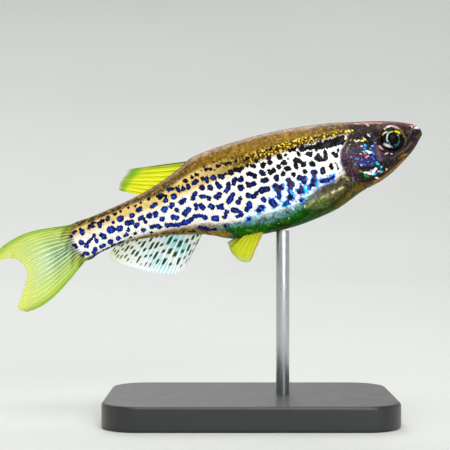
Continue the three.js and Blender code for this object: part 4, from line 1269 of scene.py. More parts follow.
# %% Mix the skin's finish
def scale_nodes(fish):
    """The scales' relief as nodes. Gives the relief and how far a place lies ahead of its scale's edge."""
    level = fish.painted("level") * (1 / SCALE_ROW)
    along = fish.painted("station") * (1 / SCALE_PITCH)
    row = fish.maths("FLOOR", level, 0)
    over = level - row
    ahead = []
    for step in (0, 1):
        side = over - step
        shift = 0.5 * fish.maths("FLOORED_MODULO", row + step, 2) - SCALE_ARC * side * side
        ahead.append(fish.maths("FRACT", shift - along, 0))
    ahead = fish.maths("MINIMUM", *ahead)
    return fish.rise(ahead, 0, SCALE_STEP) * (1 - SCALE_FALL * ahead), ahead


def fish_finish():
    fish = Finish("fish_skin", Coat_Weight=0.06, Coat_Roughness=0.1, IOR=1.36, Specular_IOR_Level=0.14)
    ground = fish.painted("ground", "Color")
    masks = ("head", "belly", "gold", "front", "back", "shine", "scaled")
    head, belly, gold, front, back, shine, scaled = (fish.painted(name) for name in masks)
    relief, ahead = scale_nodes(fish)
    fray = fish.clouds(0.12, 3) - 0.5
    coarse_fray = fish.clouds(0.34, 2) - 0.5
    mottle = fish.clouds(0.7, 3)
    speckle = fish.cells(0.16)

    # A warm tint on the flank, and a grey grain that is strongest on the head and belly.
    tint = fish.mix(fish.rise(fish.clouds(0.45), 0.45, 0.62), colour("ffffff"), colour("f8ecd4"))
    ground = fish.mix(0.6 * (1 - head) * (1 - back), ground, tint, "MULTIPLY")
    grey = fish.mix(fish.rise(fish.clouds(0.22, 3), 0.36, 0.64), colour("4c4c4c"), colour("d2d2d2"))
    ground = fish.mix(0.1 + 0.55 * head + 0.35 * back + 0.5 * belly, ground, grey, "OVERLAY")
    # Pale streaks and dark murk in the clear belly, then the dark and gold mottling of the back.
    streaks = fish.rise(fish.clouds(0.5, 3), 0.52, 0.68) * belly * (1 - front)
    ground = fish.mix(0.45 * streaks, ground, colour("a8ac5e"))
    murk = fish.rise(fish.clouds(0.6, 2), 0.5, 0.38) * belly
    ground = fish.mix(0.6 * murk, ground, colour("1a2004"))
    ground = fish.mix(0.35 * back * fish.rise(mottle, 0.42, 0.62), ground, DARK_BACK)
    ground = fish.mix(0.5 * back * fish.rise(fish.clouds(0.3, 3), 0.52, 0.66), ground, colour("c29a3a"))
    # Dark edges of the scales, the stipple, the gill cover's pink and the broken gold line.
    edge = fish.rise(ahead, 0.2, 0.05) * scaled
    ground = fish.mix(edge * (0.03 + 0.08 * back), ground, colour("1d1612"))
    stipple = (1 - fish.rise(speckle, 0.2, 0.34)) * fish.rise(mottle, 0.3, 0.6)
    ground = fish.mix(stipple * (0.35 * back + 0.5 * gold + 0.15 * head), ground, colour("1d1612"))
    cover = head * fish.rise(fish.clouds(0.2, 2), 0.57, 0.66)
    ground = fish.mix(0.35 * cover, ground, colour("8b5a66"))
    dark_gold = gold * front * fish.rise(fish.clouds(0.2, 2), 0.52, 0.45)
    ground = fish.mix(0.85 * dark_gold, ground, colour("15120f"))
    flecks = fish.rise(fish.clouds(0.22, 1) + 0.3 * fray, 0.55, 0.6) * gold * (0.3 + 0.7 * front)
    ground = fish.mix(flecks, ground, colour("f2d13f"))

    # The spots and bars: a dark rim, a core that is blue or dull, and a bright halo round the bars.
    blueness = fish.painted("blueness")
    bar = fish.painted("bar")
    depth = fish.painted("spot") + (fray * 0.28 + coarse_fray * 0.34) * (1 - 0.5 * bar) + 0.03 * bar
    patch = fish.rise(fish.clouds(0.24, 2), 0.4, 0.58)
    inner = fish.mix(blueness * (0.3 + 0.7 * patch), colour("06080f"), colour("0a26ac"))
    inner = fish.mix(fish.rise(depth + fray * 0.3, 0.12, 0.26) * blueness * patch, inner, colour("1f56f0"))
    dull = (1 - blueness) * (1 - blueness) * fish.rise(depth + fray * 0.3, 0.16, 0.28)
    inner = fish.mix(0.5 * dull * fish.rise(mottle, 0.48, 0.58), inner, colour("4a3f38"))
    bar_core = fish.mix(0.75 * fish.rise(mottle, 0.48, 0.58), colour("0b0b1e"), colour("4a3438"))
    bar_core = fish.mix(0.12 * blueness * patch, bar_core, colour("1c4ce8"))
    core = fish.mix(bar, inner, bar_core)
    rim = fish.mix(blueness, colour("030307"), colour("040a3c"))
    rim = fish.mix(bar, rim, fish.mix(blueness * (0.4 + 0.6 * patch), colour("0a1650"), colour("0a62fa")))
    pigment = fish.mix(fish.rise(depth + 0.07 * bar, 0.05, 0.2), rim, core)
    halo = fish.rise(depth, -0.18, -0.1) * bar * fish.rise(coarse_fray, -0.04, 0.06) * blueness
    halo_tint = fish.mix(fish.rise(mottle, 0.42, 0.58), colour("1e7cf8"), colour("24c8fa"))
    ground = fish.mix(halo, ground, halo_tint)
    painted = fish.mix(fish.rise(depth, -0.02, 0.02), ground, pigment)
    # Glints on the gill cover, and the painted sparks.
    glints = fish.rise(fish.clouds(0.16, 1), 0.64, 0.7) * head * fish.rise(shine, 0.5, 0.8)
    glint_tint = fish.mix(fish.rise(mottle, 0.44, 0.56), colour("2b4ee0"), colour("b06a9a"))
    painted = fish.mix(0.7 * glints, painted, glint_tint)
    spark = fish.rise(fish.painted("spark") + fray * 2.2, 0.3, 0.5)
    painted = fish.mix(spark, painted, fish.painted("spark_tint", "Color"))

    grain = fish.clouds(0.1, 3) * 0.5 + speckle * 0.3 + relief * scaled
    return fish.wear(
        Base_Color=painted,
        Metallic=0.15 * shine,
        Roughness=0.46 - 0.14 * shine + 0.1 * fray,
        Normal=fish.bump(grain, 0.025),
    )


skin_finish = fish_finish()
skin_mesh.materials.append(skin_finish)
print("nodes in the skin's finish:", len(skin_finish.node_tree.nodes))

# %% [markdown]
# ## The eyes
#
# A danio's eye is large, flat and set level with the skin. The dark iris has gold and silver patches and a
# pale ring round the black pupil, which sits a little forward. The ball is a sphere squashed along its
# axis. Its colours are brush strokes on the side view again, and a clear coat makes it look wet.

# %% Shape and paint the eyes
EYE_SEAT = 1.56
EYE_DEPTH = 0.64
EYE_TURN = math.radians(11)
PUPIL = (2.86, 0.15)
PUPIL_RADIUS = 0.52
# Each stroke as it is seen: colour, radius, strength, and its line.
EYE_STROKES = [
    ("0f252c", 0.2, 0.7, [(3.74, 0.6), (3.74, 0.1)]),
    ("2f7564", 0.13, 0.85, [(2.92, -0.54), (2.62, -0.5), (2.42, -0.3)]),
    ("5f6e78", 0.1, 0.7, [(2.36, -0.1), (2.34, 0.12)]),
    ("ece22a", 0.13, 1, [(3.78, 0.86), (3.6, 0.94)]),
    ("f7e9c4", 0.12, 0.95, [(3.5, 0.97), (3.3, 0.98)]),
    ("f2e200", 0.14, 1, [(2.42, 0.76), (2.26, 0.66), (2.12, 0.5)]),
    ("c8cc4a", 0.08, 0.9, [(2.98, 0.86), (2.72, 0.84)]),
    ("6fe0f2", 0.08, 1, [(3.22, 0.78), (3.04, 0.84)]),
    ("eef4fa", 0.085, 1, [(3.26, 0.72), (3.4, 0.5), (3.47, 0.25), (3.46, 0.08)]),
    ("d6dee6", 0.07, 0.9, [(2.4, 0.4), (2.3, 0.26)]),
    ("ffffff", 0.19, 1, [(3.86, -0.12), (3.68, -0.26), (3.48, -0.42)]),
    ("46b8d8", 0.08, 0.9, [(3.36, -0.14)]),
    ("9aa4f4", 0.1, 0.95, [(3.34, -0.48), (3.24, -0.6)]),
]


def eye_mesh(name, side):
    ball = bmesh.new()
    bmesh.ops.create_uvsphere(ball, u_segments=64, v_segments=48, radius=1)
    bmesh.ops.rotate(ball, matrix=Matrix.Rotation(math.radians(-90 * side), 3, "X"), verts=ball.verts)
    bmesh.ops.scale(ball, vec=(EYE_RADIUS, EYE_DEPTH, EYE_RADIUS), verts=ball.verts)
    seat = Matrix.Translation((-EYE_CENTRE[0], side * EYE_SEAT, EYE_CENTRE[1]))
    turned = seat @ Matrix.Rotation(-side * EYE_TURN, 4, "Z")
    bmesh.ops.transform(ball, matrix=turned, verts=ball.verts)
    local = places_of(ball)
    bmesh.ops.transform(ball, matrix=TO_WORLD, verts=ball.verts)
    mesh = mesh_of(ball, name)
    view = Canvas(*as_seen(local))
    iris = np.tile(np.array(colour("050505"))[:3], (len(local), 1))
    for code, radius, strength, line in EYE_STROKES:
        iris = mixed(iris, colour(code), strength * view.stroke(line, radius, soft=0.6))
    pupil = PUPIL_RADIUS - np.hypot(view.station - PUPIL[0], view.height - PUPIL[1])
    store(mesh, "iris", iris)
    store(mesh, "pupil", pupil)
    return mesh


eye_finish = Finish("wet_eye", Coat_Weight=0.05, Coat_Roughness=0.03, IOR=1.38, Specular_IOR_Level=0.08)
grain = eye_finish.clouds(0.08, 3)
dark_grains = eye_finish.rise(grain, 0.5, 0.66)
iris_colour = eye_finish.mix(dark_grains, eye_finish.painted("iris", "Color"), colour("0b0a08"))
black = eye_finish.rise(eye_finish.painted("pupil"), -0.03, 0.03)
eye_colour = eye_finish.mix(black, iris_colour, colour("020202"))
eye_finish.wear(Base_Color=eye_colour, Roughness=0.25 + 0.15 * black)

for name, side, node in (("right_eye", -1, "eye_right"), ("left_eye", 1, "eye_left")):
    mesh = eye_mesh(name, side)
    mesh.materials.append(eye_finish.material)
    add_piece(name, mesh, "eye", node)

# %% [markdown]
# ## The fins
#
# A fin is a thin clear membrane carried by bony rays that fork towards the margin. It could be a flat sheet
# with drawn lines, but the rays catch light and give the margin its fine teeth. So each fin is a thin
# closed slab: a grid, extruded, whose columns follow the rays. The slab is a little thicker on every ray
# and fork. The same few numbers as in the solids give each fin its root, margin and sweep.

# %% Build a rayed sheet
FIN_COLUMNS = 8
LINE_STEPS = 400
BOW_SKEW = 1.2
# Each fork of a ray: where it starts along the fin, where it is fully open, and how wide it is then.
FORKS = ((0.32, 0.92, 0.25), (0.68, 1, 0.11))
# A ray's half width at its root and at its tip, as a share of the room between two rays.
RAY_WIDTH = (0.2, 0.1)
RAY_SHARPNESS = 1.6
RAY_RAISE = (0.075, 0.03)
MEMBRANE_TIP = 0.05
MARGIN_NOTCH = 0.022
MARGIN_UNEVEN = 0.008
RIPPLE = 0.06
RIPPLES = 3
RIPPLE_START = 0.6


def from_to(pair, share):
    """A value between the two of a pair."""
    return pair[0] + (pair[1] - pair[0]) * share


def ray_profile(across, along, rays):
    """1 on a ray or fork and 0 on the membrane, for places across and along a fin."""
    cell = across * (rays - 1)
    offset = np.abs(cell - np.round(cell))
    first, second = (width * rising(along, start, open_at) for start, open_at, width in FORKS)
    apart = np.minimum(np.abs(offset - first), np.abs(np.abs(offset - first) - second))
    return np.exp(-RAY_SHARPNESS * (apart / from_to(RAY_WIDTH, along)) ** 2)


def along_line(points, share):
    """Places on a smooth line, at shares of its steps."""
    line = spline(points, LINE_STEPS)
    pick = np.clip(share, 0, 1) * (LINE_STEPS - 1)
    return np.column_stack([np.interp(pick, np.arange(LINE_STEPS), line[:, i]) for i in (0, 1)])


def fin_points(spec, across, along):
    """Side-view places on a fin's sheet: where each ray starts, how it runs and how it bows."""
    start = along_line(spec["root"], across)
    run = along_line(spec["margin"], across) - start
    square = np.column_stack([run[:, 1], run[:, 0]]) / np.linalg.norm(run, axis=1)[:, None]
    bow = spec["bow"] * np.sin(np.pi * along.clip(0, 1) ** BOW_SKEW) * (1 - across)
    return start + run * along[:, None] - square * bow[:, None]


def fin_sheet(spec, rows=56):
    """A fin as a closed slab in the middle plane, with its place across and along kept per vertex."""
    rays = spec["rays"]
    sheet = bmesh.new()
    bmesh.ops.create_grid(sheet, x_segments=(rays - 1) * FIN_COLUMNS, y_segments=rows, size=1)
    made = bmesh.ops.extrude_face_region(sheet, geom=sheet.faces[:])
    raised = [v for v in made["geom"] if isinstance(v, bmesh.types.BMVert)]
    bmesh.ops.translate(sheet, vec=(0, 0, 1), verts=raised)
    bmesh.ops.recalc_face_normals(sheet, faces=sheet.faces)
    co = places_of(sheet)
    across, along, face = (co[:, 0] + 1) / 2, (co[:, 1] + 1) / 2, 2 * co[:, 2] - 1
    ray = ray_profile(across, along, rays)
    uneven = np.random.default_rng(spec["seed"]).normal(0, MARGIN_UNEVEN, rays)
    between_rays = 1 - ray_profile(across, np.ones_like(across), rays)
    reach = 1 - MARGIN_NOTCH * between_rays * rising(along, 0.8, 1)
    reach += np.interp(across * (rays - 1), np.arange(rays), uneven) * along
    side_view = fin_points(spec, across, np.clip(along * reach, 0, 1.02))
    half = 0.5 * from_to((spec["thick"], MEMBRANE_TIP), along) + ray * from_to(RAY_RAISE, along)
    ripple = RIPPLE * along ** 2 * np.sin(across * RIPPLES * 2 * np.pi + RIPPLE_START)
    aside = spec.get("wave", 0) * along ** 2 + spec.get("lift", 0) * (1 - (1 - along) ** 3) + ripple
    put(sheet, np.column_stack([-side_view[:, 0], aside + face * half, side_view[:, 1]]))
    return sheet, {"across": across, "along": along, "ray": ray}


print("fin sheets ready")

# %% [markdown]
# ## Painting the fins
#
# The dorsal and pelvic fins are clear yellow-green with darker rays, and the tail fin's rays are paler than
# its membrane. The anal fin is pale, almost white, with rows of short dark green dashes between its rays.
# The breast fins are nearly colourless. Each fin gets a tint, a tint for its rays and a clearness per
# vertex, and one finish reads them all.

# %% Mix the fin's finish
def fin_finish():
    fin = Finish("fin_membrane", Coat_Weight=0.06, Coat_Roughness=0.2, IOR=1.4, Specular_IOR_Level=0.2)
    ray = fin.painted("ray")
    grain = fin.clouds(0.15, 3)
    tint = fin.painted("tint", "Color")
    rays = fin.painted("ray_tint", "Color")
    share = fin.painted("ray_share")
    joints = fin.rise(fin.maths("SINE", fin.painted("joint"), 0), 0.55, 0.95) * ray
    base = fin.mix(fin.rise(ray, 0.35, 0.75) * share, tint, rays)
    base = fin.mix(0.25 * grain, base, fin.mix(0.5, base, colour("000000"), "MULTIPLY"))
    base = fin.mix(0.1 * joints, base, colour("5d6a2a"))
    gap = fin.painted("gap") * fin.rise(ray, 0.45, 0.15) * fin.rise(grain, 0.38, 0.5)
    base = fin.mix(gap, base, colour("0c5a28"))
    body = fin.painted("body")
    alpha = fin.maths("MINIMUM", body + 0.4 * fin.rise(ray, 0.3, 0.8) * share + 0.6 * gap, 1)
    bump = fin.bump(ray + 0.2 * grain, 0.02)
    return fin.wear(Base_Color=base, Roughness=0.34 + 0.12 * grain, Alpha=alpha, Normal=bump)


fin_material = fin_finish()
JOINT_PITCH = 0.34


def paint_fin(mesh, facts, tint, ray_tint, body, ray_share, gap=0.0):
    """Stores a fin's own look on its mesh. Each value holds for the whole fin or is given per vertex."""
    bare = np.zeros(len(facts["ray"]))
    for name, colours in (("tint", tint), ("ray_tint", ray_tint)):
        store(mesh, name, bare[:, None] + np.asarray(colours)[..., :3])
    joint = facts["along"] * facts["span"] * 2 * np.pi / JOINT_PITCH
    values = {"ray": facts["ray"], "body": body, "ray_share": ray_share, "gap": gap, "joint": joint}
    for name, value in values.items():
        store(mesh, name, bare + value)


def finish_fin(name, sheet, place=None):
    """Turns a sheet into a mesh in its place on the fish."""
    if place is not None:
        bmesh.ops.transform(sheet, matrix=place, verts=sheet.verts)
    bmesh.ops.transform(sheet, matrix=TO_WORLD, verts=sheet.verts)
    mesh = mesh_of(sheet, name)
    mesh.materials.append(fin_material)
    return mesh


# %% Make the tail fin
TAIL_UPPER = {
    "rays": 19, "root": [(35.3, 1.95), (35.7, 1), (35.95, -0.04)],
    "margin": [(45.1, 0.86), (43.4, 0.85), (42.2, 0.66), (41.4, 0), (41.07, -1.04)], "bow": -1.15,
}
TAIL_LOWER = {
    "rays": 19, "root": [(34.8, -1.6), (35.4, -1), (35.95, -0.04)],
    "margin": [(42.3, -4.85), (43.05, -4.2), (42.3, -3.05), (41.5, -2), (41.07, -1.04)], "bow": 0.95,
}


def tail_fin():
    whole = dict(TAIL_UPPER, thick=0.24, wave=0.7, seed=5)
    sheet, facts = fin_sheet(whole, rows=72)
    across, along = facts["across"], facts["along"]
    upper = fin_points(TAIL_UPPER, np.clip(2 * across, 0, 1), along)
    lower = fin_points(TAIL_LOWER, np.clip(2 - 2 * across, 0, 1), along)
    view = np.where((across <= 0.5)[:, None], upper, lower)
    for vert, (s, h) in zip(sheet.verts, view):
        vert.co.x, vert.co.z = -s, h
    facts["span"] = 8
    mesh = finish_fin("tail_fin", sheet)
    middle = np.exp(-((across - 0.52) / 0.24) ** 2)
    near_root = rising(along, 0.9, 0.4)
    rim = rising(np.abs(across - 0.5), 0.38, 0.48)
    tint = mixed(colour("c8ea1e"), colour("c4f0b4"), 0.8 * middle)
    tint = mixed(tint, colour("9ed404"), rim)
    tint = mixed(tint, colour("f1e58e"), rising(along, 0.9, 1) * rising(across, 0.8, 1))
    rays = mixed(colour("fbfb62"), colour("ffffff"), middle * near_root)
    rays = mixed(rays, colour("86b40e"), 0.7 * rim)
    body = 0.5 + 0.22 * rim + 0.12 * middle * near_root - 0.1 * rising(along, 0.6, 1)
    gap = (0.12 + 0.62 * middle) * rising(along, 0.66, 0.31)
    blotch = np.sin(37 * across + 9 * along) * np.sin(61 * across - 30 * along)
    root_dark = smooth((0.2 + 0.06 * blotch - along) / 0.1) * (0.45 + 0.4 * blotch)
    tint = mixed(tint, colour("3c3e1c"), root_dark)
    rays = mixed(rays, colour("77743c"), root_dark)
    paint_fin(mesh, facts, tint, rays, np.minimum(body + 0.5 * root_dark.clip(0, 1), 1), 0.9, gap)
    return mesh


add_piece("tail_fin", tail_fin(), "tail_fin", "caudal_fin_upper", "caudal_fin_lower")

# %% Make the dorsal and anal fins
DORSAL = {
    "rays": 9, "root": [(21.9, 4.15), (24.9, 3), (27.6, 2.2)], "thick": 0.2, "seed": 6,
    "margin": [(28.25, 5.35), (29.2, 4.8), (29.7, 4.25), (29.95, 3.7)], "bow": 0, "wave": 0.25,
}
ANAL = {
    "rays": 20, "root": [(23, -2.4), (27.3, -1.3), (31.3, -0.85)], "thick": 0.2, "seed": 8,
    "margin": [
        (26.1, -5.5), (27.3, -5.85), (29.4, -5), (30.6, -4.25), (31.8, -3.4), (32.6, -2.7), (32.85, -2.05),
    ],
    "bow": 0.12, "wave": -0.25,
}


def dorsal_fin():
    sheet, facts = fin_sheet(DORSAL)
    facts["span"] = 4
    mesh = finish_fin("dorsal_fin", sheet)
    across, along = facts["across"], facts["along"]
    edge = rising(across, 0.16, 0.02)
    tint = mixed(colour("f4f40a"), colour("dcec10"), rising(across, 0.4, 0.1))
    tint = mixed(tint, colour("7cc41a"), 0.85 * rising(along, 0.72, 0.86))
    tint = mixed(tint, colour("3f5a10"), 0.85 * edge * rising(along, 0.95, 0.55))
    tint = mixed(tint, colour("f0f6d0"), rising(along, 0.94, 0.98))
    rays = mixed(colour("9aac08"), colour("4c5c0c"), rising(across, 0.35, 0.05))
    paint_fin(mesh, facts, tint, rays, 0.85 - 0.2 * rising(along, 0.75, 1), 0.6)
    return mesh


def anal_fin():
    sheet, facts = fin_sheet(ANAL)
    facts["span"] = 4
    mesh = finish_fin("anal_fin", sheet)
    across, along = facts["across"], facts["along"]
    cell = across * (ANAL["rays"] - 1)
    column = np.minimum(np.floor(cell), ANAL["rays"] - 2)
    between_rays = np.abs(cell - column - 0.5)
    band = along * (5 - 2.2 * across) + np.random.default_rng(5).random(ANAL["rays"])[column.astype(int)]
    half_dash = 0.31 + 0.12 * np.sin(4.1 * np.floor(band) + 2.7 * column)
    dash = smooth((half_dash - np.abs(band - np.floor(band) - 0.5)) / 0.12)
    dash *= rising(between_rays, 0.42, 0.22)
    dash *= rising(along, 0.08, 0.16) * rising(along, 0.93, 0.83)
    cyan = np.exp(-((across - 0.28) / 0.22) ** 2) * (0.4 + 0.35 * np.sin(17 * across + 11 * along))
    pale = mixed(colour("ffffff"), colour("4ce8f4"), cyan)
    pale = mixed(pale, colour("e4efb4"), rising(across, 0.6, 1) * 0.5)
    pale = mixed(pale, colour("c5d98a"), 0.8 * rising(along, 0.16, 0.06))
    tint = mixed(pale, colour("004a10"), dash)
    tint = mixed(tint, colour("a8ecf8"), rising(along, 0.955, 0.985))
    tint = mixed(tint, colour("c8b64a"), rising(across, 0.03, 0.01) * 0.7)
    rays = mixed(colour("ffffff"), colour("e2ecc0"), rising(across, 0.5, 0.9))
    paint_fin(mesh, facts, tint, rays, 0.72 + 0.28 * dash, 0.9, 0.16 * (1 - dash))
    return mesh


add_piece("dorsal_fin_sheet", dorsal_fin(), "dorsal_fin", "dorsal_fin")
add_piece("anal_fin_sheet", anal_fin(), "anal_fin", "anal_fin")

# %% [markdown]
# ## The paired fins
#
# The breast fins lie along the lower flank and the pelvic fins hang below the belly. Each pair is the same
# sheet, swung about the front of its root and mirrored. Here the turn is put together from three plain
# rotations, in the order that the solids use.

# %% Make the paired fins
PELVIC = {
    "rays": 7, "root": [(17.6, -4.35), (18.5, -4.25), (19.3, -4.15)], "thick": 0.18, "bow": 0.32, "seed": 9,
    "margin": [(19.55, -6.65), (20.15, -7.05), (21.05, -6.35), (21.4, -5.2)],
}
PECTORAL = {
    "rays": 11, "root": [(8.1, -1.9), (8.15, -2.35), (8.2, -2.8)], "thick": 0.16, "bow": 0.1, "seed": 10,
    "margin": [(13.1, -2.45), (13.35, -3.1), (12.8, -3.7), (11.6, -4)], "lift": 1,
}
SEATS = {
    "pelvic": {"y": 0.75, "hinge": (17.7, -4.5), "roll": 20, "yaw": 0},
    "pectoral": {"y": 1.75, "hinge": (8.1, -1.9), "roll": -20, "yaw": 4},
}
PELVIC_SWING = {"right": 0, "left": 11}


def paired_place(kind, side, swing=0):
    """The turn and place of a paired fin. Its sheet is drawn in the middle plane."""
    seat = SEATS[kind]
    station, height = seat["hinge"]
    out = Matrix.Translation((-station, seat["y"], height))
    yaw, roll, swung = (math.radians(a) for a in (-seat["yaw"], seat["roll"], swing))
    turn = Matrix.Rotation(yaw, 4, "Z") @ Matrix.Rotation(roll, 4, "X") @ Matrix.Rotation(swung, 4, "Y")
    back = Matrix.Translation((station, 0, -height))
    return Matrix.Diagonal((1, side, 1, 1)) @ out @ turn @ back


def pelvic_fin(name, side, swing):
    sheet, facts = fin_sheet(PELVIC, rows=40)
    facts["span"] = 2.6
    mesh = finish_fin(name, sheet, paired_place("pelvic", side, swing))
    across, along = facts["across"], facts["along"]
    tint = mixed(colour("d9e012"), colour("e0a628"), rising(across, 0.16, 0.04) * 0.7)
    tint = mixed(tint, colour("d3e25a"), rising(along, 0.75, 1) * 0.7)
    rays = mixed(colour("b7c21a"), colour("c9702a"), rising(across, 0.12, 0.02))
    paint_fin(mesh, facts, tint, rays, 0.75 - 0.3 * rising(along, 0.65, 1), 0.8)
    return mesh


def pectoral_fin(name, side):
    sheet, facts = fin_sheet(PECTORAL, rows=48)
    facts["span"] = 5
    mesh = finish_fin(name, sheet, paired_place("pectoral", side))
    rays = mixed(colour("b9ad7a"), colour("8a7c4c"), rising(facts["across"], 0.12, 0.02))
    paint_fin(mesh, facts, colour("cfc99a"), rays, 0.02, 0.12)
    return mesh


for side_name, side in (("right", -1), ("left", 1)):
    pelvic = pelvic_fin(f"{side_name}_pelvic_fin", side, PELVIC_SWING[side_name])
    add_piece(f"{side_name}_pelvic_fin", pelvic, "pelvic_fin", f"pelvic_fin_{side_name}")
    pectoral = pectoral_fin(f"{side_name}_pectoral_fin", side)
    add_piece(f"{side_name}_pectoral_fin", pectoral, "pectoral_fin", f"pectoral_fin_{side_name}")

# %% [markdown]
# ## The barbels
#
# A danio has two pairs of soft feelers, one at the snout and a longer one at the corner of the mouth. Each
# is a sphere drawn out along a curved line: its rings follow the line and shrink towards the tip, so it is
# closed and rounded at both ends without any joins.

# %% Draw out the barbels
BARBEL_WIDTH = (0.17, 0.05)
BARBEL_STEPS = 200
# How much of a barbel's length its rounded ends take up.
ROOT_CAP, TIP_CAP = 0.04, 0.03
SNOUT_BARBEL = [(1, 0.45, 1.1), (1.35, 0.1, 1.65), (1.95, -0.35, 2.05)]
MOUTH_BARBEL = [(1.5, -0.75, 1.75), (2.3, -1.2, 2.25), (3.3, -1.5, 2.55), (4.2, -1.7, 2.75)]


def barbel(name, line, side):
    feeler = bmesh.new()
    bmesh.ops.create_uvsphere(feeler, u_segments=14, v_segments=40, radius=1)
    ball = places_of(feeler)
    t = np.arccos(np.clip(ball[:, 2], -1, 1)) / np.pi
    path = spline([(-s, side * y, h) for s, h, y in line], BARBEL_STEPS + 1)
    row = (t * BARBEL_STEPS).round().astype(int)
    ahead = path[np.minimum(row + 1, BARBEL_STEPS)] - path[np.maximum(row - 1, 0)]
    ahead /= np.linalg.norm(ahead, axis=1)[:, None]
    across = np.cross(ahead, (0, 0, 1))
    across /= np.linalg.norm(across, axis=1)[:, None]
    up = np.cross(across, ahead)
    radius = from_to(BARBEL_WIDTH, t) * round_end(t / ROOT_CAP) * round_end((1 - t) / TIP_CAP)
    way = np.arctan2(ball[:, 1], ball[:, 0])
    put(feeler, path[row] + across * (radius * np.cos(way))[:, None] + up * (radius * np.sin(way))[:, None])
    bmesh.ops.transform(feeler, matrix=TO_WORLD, verts=feeler.verts)
    return mesh_of(feeler, name)


feeler_finish = Finish("feeler_skin", Coat_Weight=0.15, Coat_Roughness=0.2, IOR=1.38, Specular_IOR_Level=0.25)
mottle = feeler_finish.clouds(0.12, 3)
feeler_finish.wear(
    Base_Color=feeler_finish.mix(feeler_finish.rise(mottle, 0.4, 0.6), colour("241811"), colour("4c3a2a")),
    Roughness=0.4 + 0.1 * mottle,
    Normal=feeler_finish.bump(mottle, 0.015),
)
for side_name, side in (("right", -1), ("left", 1)):
    for kind, line in (("snout", SNOUT_BARBEL), ("mouth", MOUTH_BARBEL)):
        mesh = barbel(f"{side_name}_{kind}_barbel", line, side)
        mesh.materials.append(feeler_finish.material)
        add_piece(f"{side_name}_{kind}_barbel", mesh, "barbel", f"{kind}_barbel_{side_name}")

# %% [markdown]
# ## The stand
#
# The stand is a small satin black plate with one steel rod up to the belly, as museums use for small fish.
# The plate is a cube cut to size, with its corners rounded by a wide bevel and its rims by a fine one. The
# rod runs from the plate into the belly, so no light shows between them.

# %% Make the stand
BASE = {"length": 28, "width": 18, "height": 2.4, "corner": 3.5, "bevel": 0.3}
ROD = {"x": 3.2, "radius": 0.65, "top": 18.35, "foot": 2.0, "bevel": 0.06}
SHARP = 1.2


def bevelled(shape, edges, offset, segments):
    settings = {"affect": "EDGES", "profile": 0.5, "material": -1, "clamp_overlap": True}
    bmesh.ops.bevel(shape, geom=edges, offset=offset, segments=segments, **settings)


def sharp_edges(shape):
    """The edges where two faces meet at nearly a right angle."""
    return [e for e in shape.edges if e.calc_face_angle(0) > SHARP]


def base_mesh():
    plate = bmesh.new()
    bmesh.ops.create_cube(plate, size=1)
    bmesh.ops.scale(plate, vec=(BASE["length"], BASE["width"], BASE["height"]), verts=plate.verts)
    bmesh.ops.translate(plate, vec=(0, 0, BASE["height"] / 2), verts=plate.verts)
    upright = [e for e in plate.edges if abs(e.verts[0].co.z - e.verts[1].co.z) > 0.5]
    bevelled(plate, upright, BASE["corner"], 12)
    bevelled(plate, sharp_edges(plate), BASE["bevel"], 4)
    bmesh.ops.scale(plate, vec=(MM,) * 3, verts=plate.verts)
    mesh = mesh_of(plate, "plate_base")
    mesh.shade_flat()
    return mesh


def rod_mesh():
    rod = bmesh.new()
    tall = ROD["top"] - ROD["foot"]
    bmesh.ops.create_cone(
        rod, cap_ends=True, segments=48, radius1=ROD["radius"], radius2=ROD["radius"], depth=tall,
    )
    bmesh.ops.translate(rod, vec=(ROD["x"], 0, ROD["foot"] + tall / 2), verts=rod.verts)
    bevelled(rod, sharp_edges(rod), ROD["bevel"], 2)
    bmesh.ops.scale(rod, vec=(MM,) * 3, verts=rod.verts)
    mesh = mesh_of(rod, "support_rod")
    for face in mesh.polygons:
        face.use_smooth = abs(face.normal.z) < 0.5
    return mesh


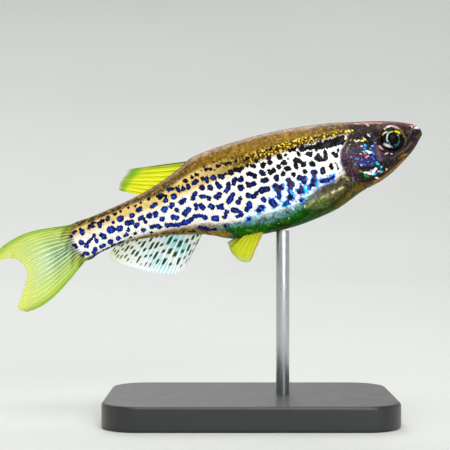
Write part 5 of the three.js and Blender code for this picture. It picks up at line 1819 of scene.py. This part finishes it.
lacquer = Finish("black_lacquer", Coat_Weight=0.3, Coat_Roughness=0.25)
haze = lacquer.clouds(1.5, 4)
lacquer.wear(
    Base_Color=lacquer.mix(haze, colour("141516"), colour("1f2123")),
    Roughness=0.36 + 0.12 * haze,
    Normal=lacquer.bump(lacquer.clouds(0.15, 3), 0.01),
)
steel = Finish("brushed_steel", Metallic=1.0)
lines = steel.node("ShaderNodeMapping", None, {"Vector": steel.place, "Scale": (14, 14, 0.7)})
brushed = steel.node("ShaderNodeTexNoise", None, {"Vector": lines, "Scale": 1.0, "Detail": 4.0})
steel.wear(
    Base_Color=steel.mix(brushed, colour("a9acb0"), colour("cdd0d3")),
    Roughness=0.22 + 0.16 * brushed,
    Normal=steel.bump(brushed, 0.01),
)
stand_base = base_mesh()
stand_base.materials.append(lacquer.material)
add_piece("stand_plate", stand_base, "stand_base", "stand_base")
stand_rod = rod_mesh()
stand_rod.materials.append(steel.material)
add_piece("stand_post", stand_rod, "stand_rod", "stand_rod")

# %% [markdown]
# ## Light
#
# Soft studio light comes from large panels. The main one is above and a little in front, a second behind
# the back gives it the pale rim, and a weak one fills the near side. None is seen by the camera.

# %% Place the lights
LIGHTS = [
    ("top_panel", (20, -130, 420), 330, 1.35, "fff8f0"),
    ("rim_panel", (-49, 235, 267), 224, 0.45, "ffffff"),
    ("fill_panel", (85, -233, 112), 120, 0.3, "f4f8ff"),
]
AIM = Vector((-4, 0, 16)) * MM

for name, place_mm, size, power, code in LIGHTS:
    panel = bpy.data.lights.new(name, "AREA")
    panel.shape = "DISK"
    panel.size = size * MM
    panel.energy = power
    panel.color = colour(code)[:3]
    lamp = bpy.data.objects.new(name, panel)
    lamp.location = Vector(place_mm) * MM
    lamp.rotation_euler = (AIM - lamp.location).to_track_quat("-Z", "Y").to_euler()
    lamp.visible_camera = False
    bpy.context.collection.objects.link(lamp)

world = bpy.data.worlds.new("studio")
world.use_nodes = True
world.node_tree.nodes["Background"].inputs["Color"].default_value = colour("eef2f4")
world.node_tree.nodes["Background"].inputs["Strength"].default_value = 0.4
bpy.context.scene.world = world
bpy.context.scene.view_settings.view_transform = "Standard"
print("lights:", len(LIGHTS))
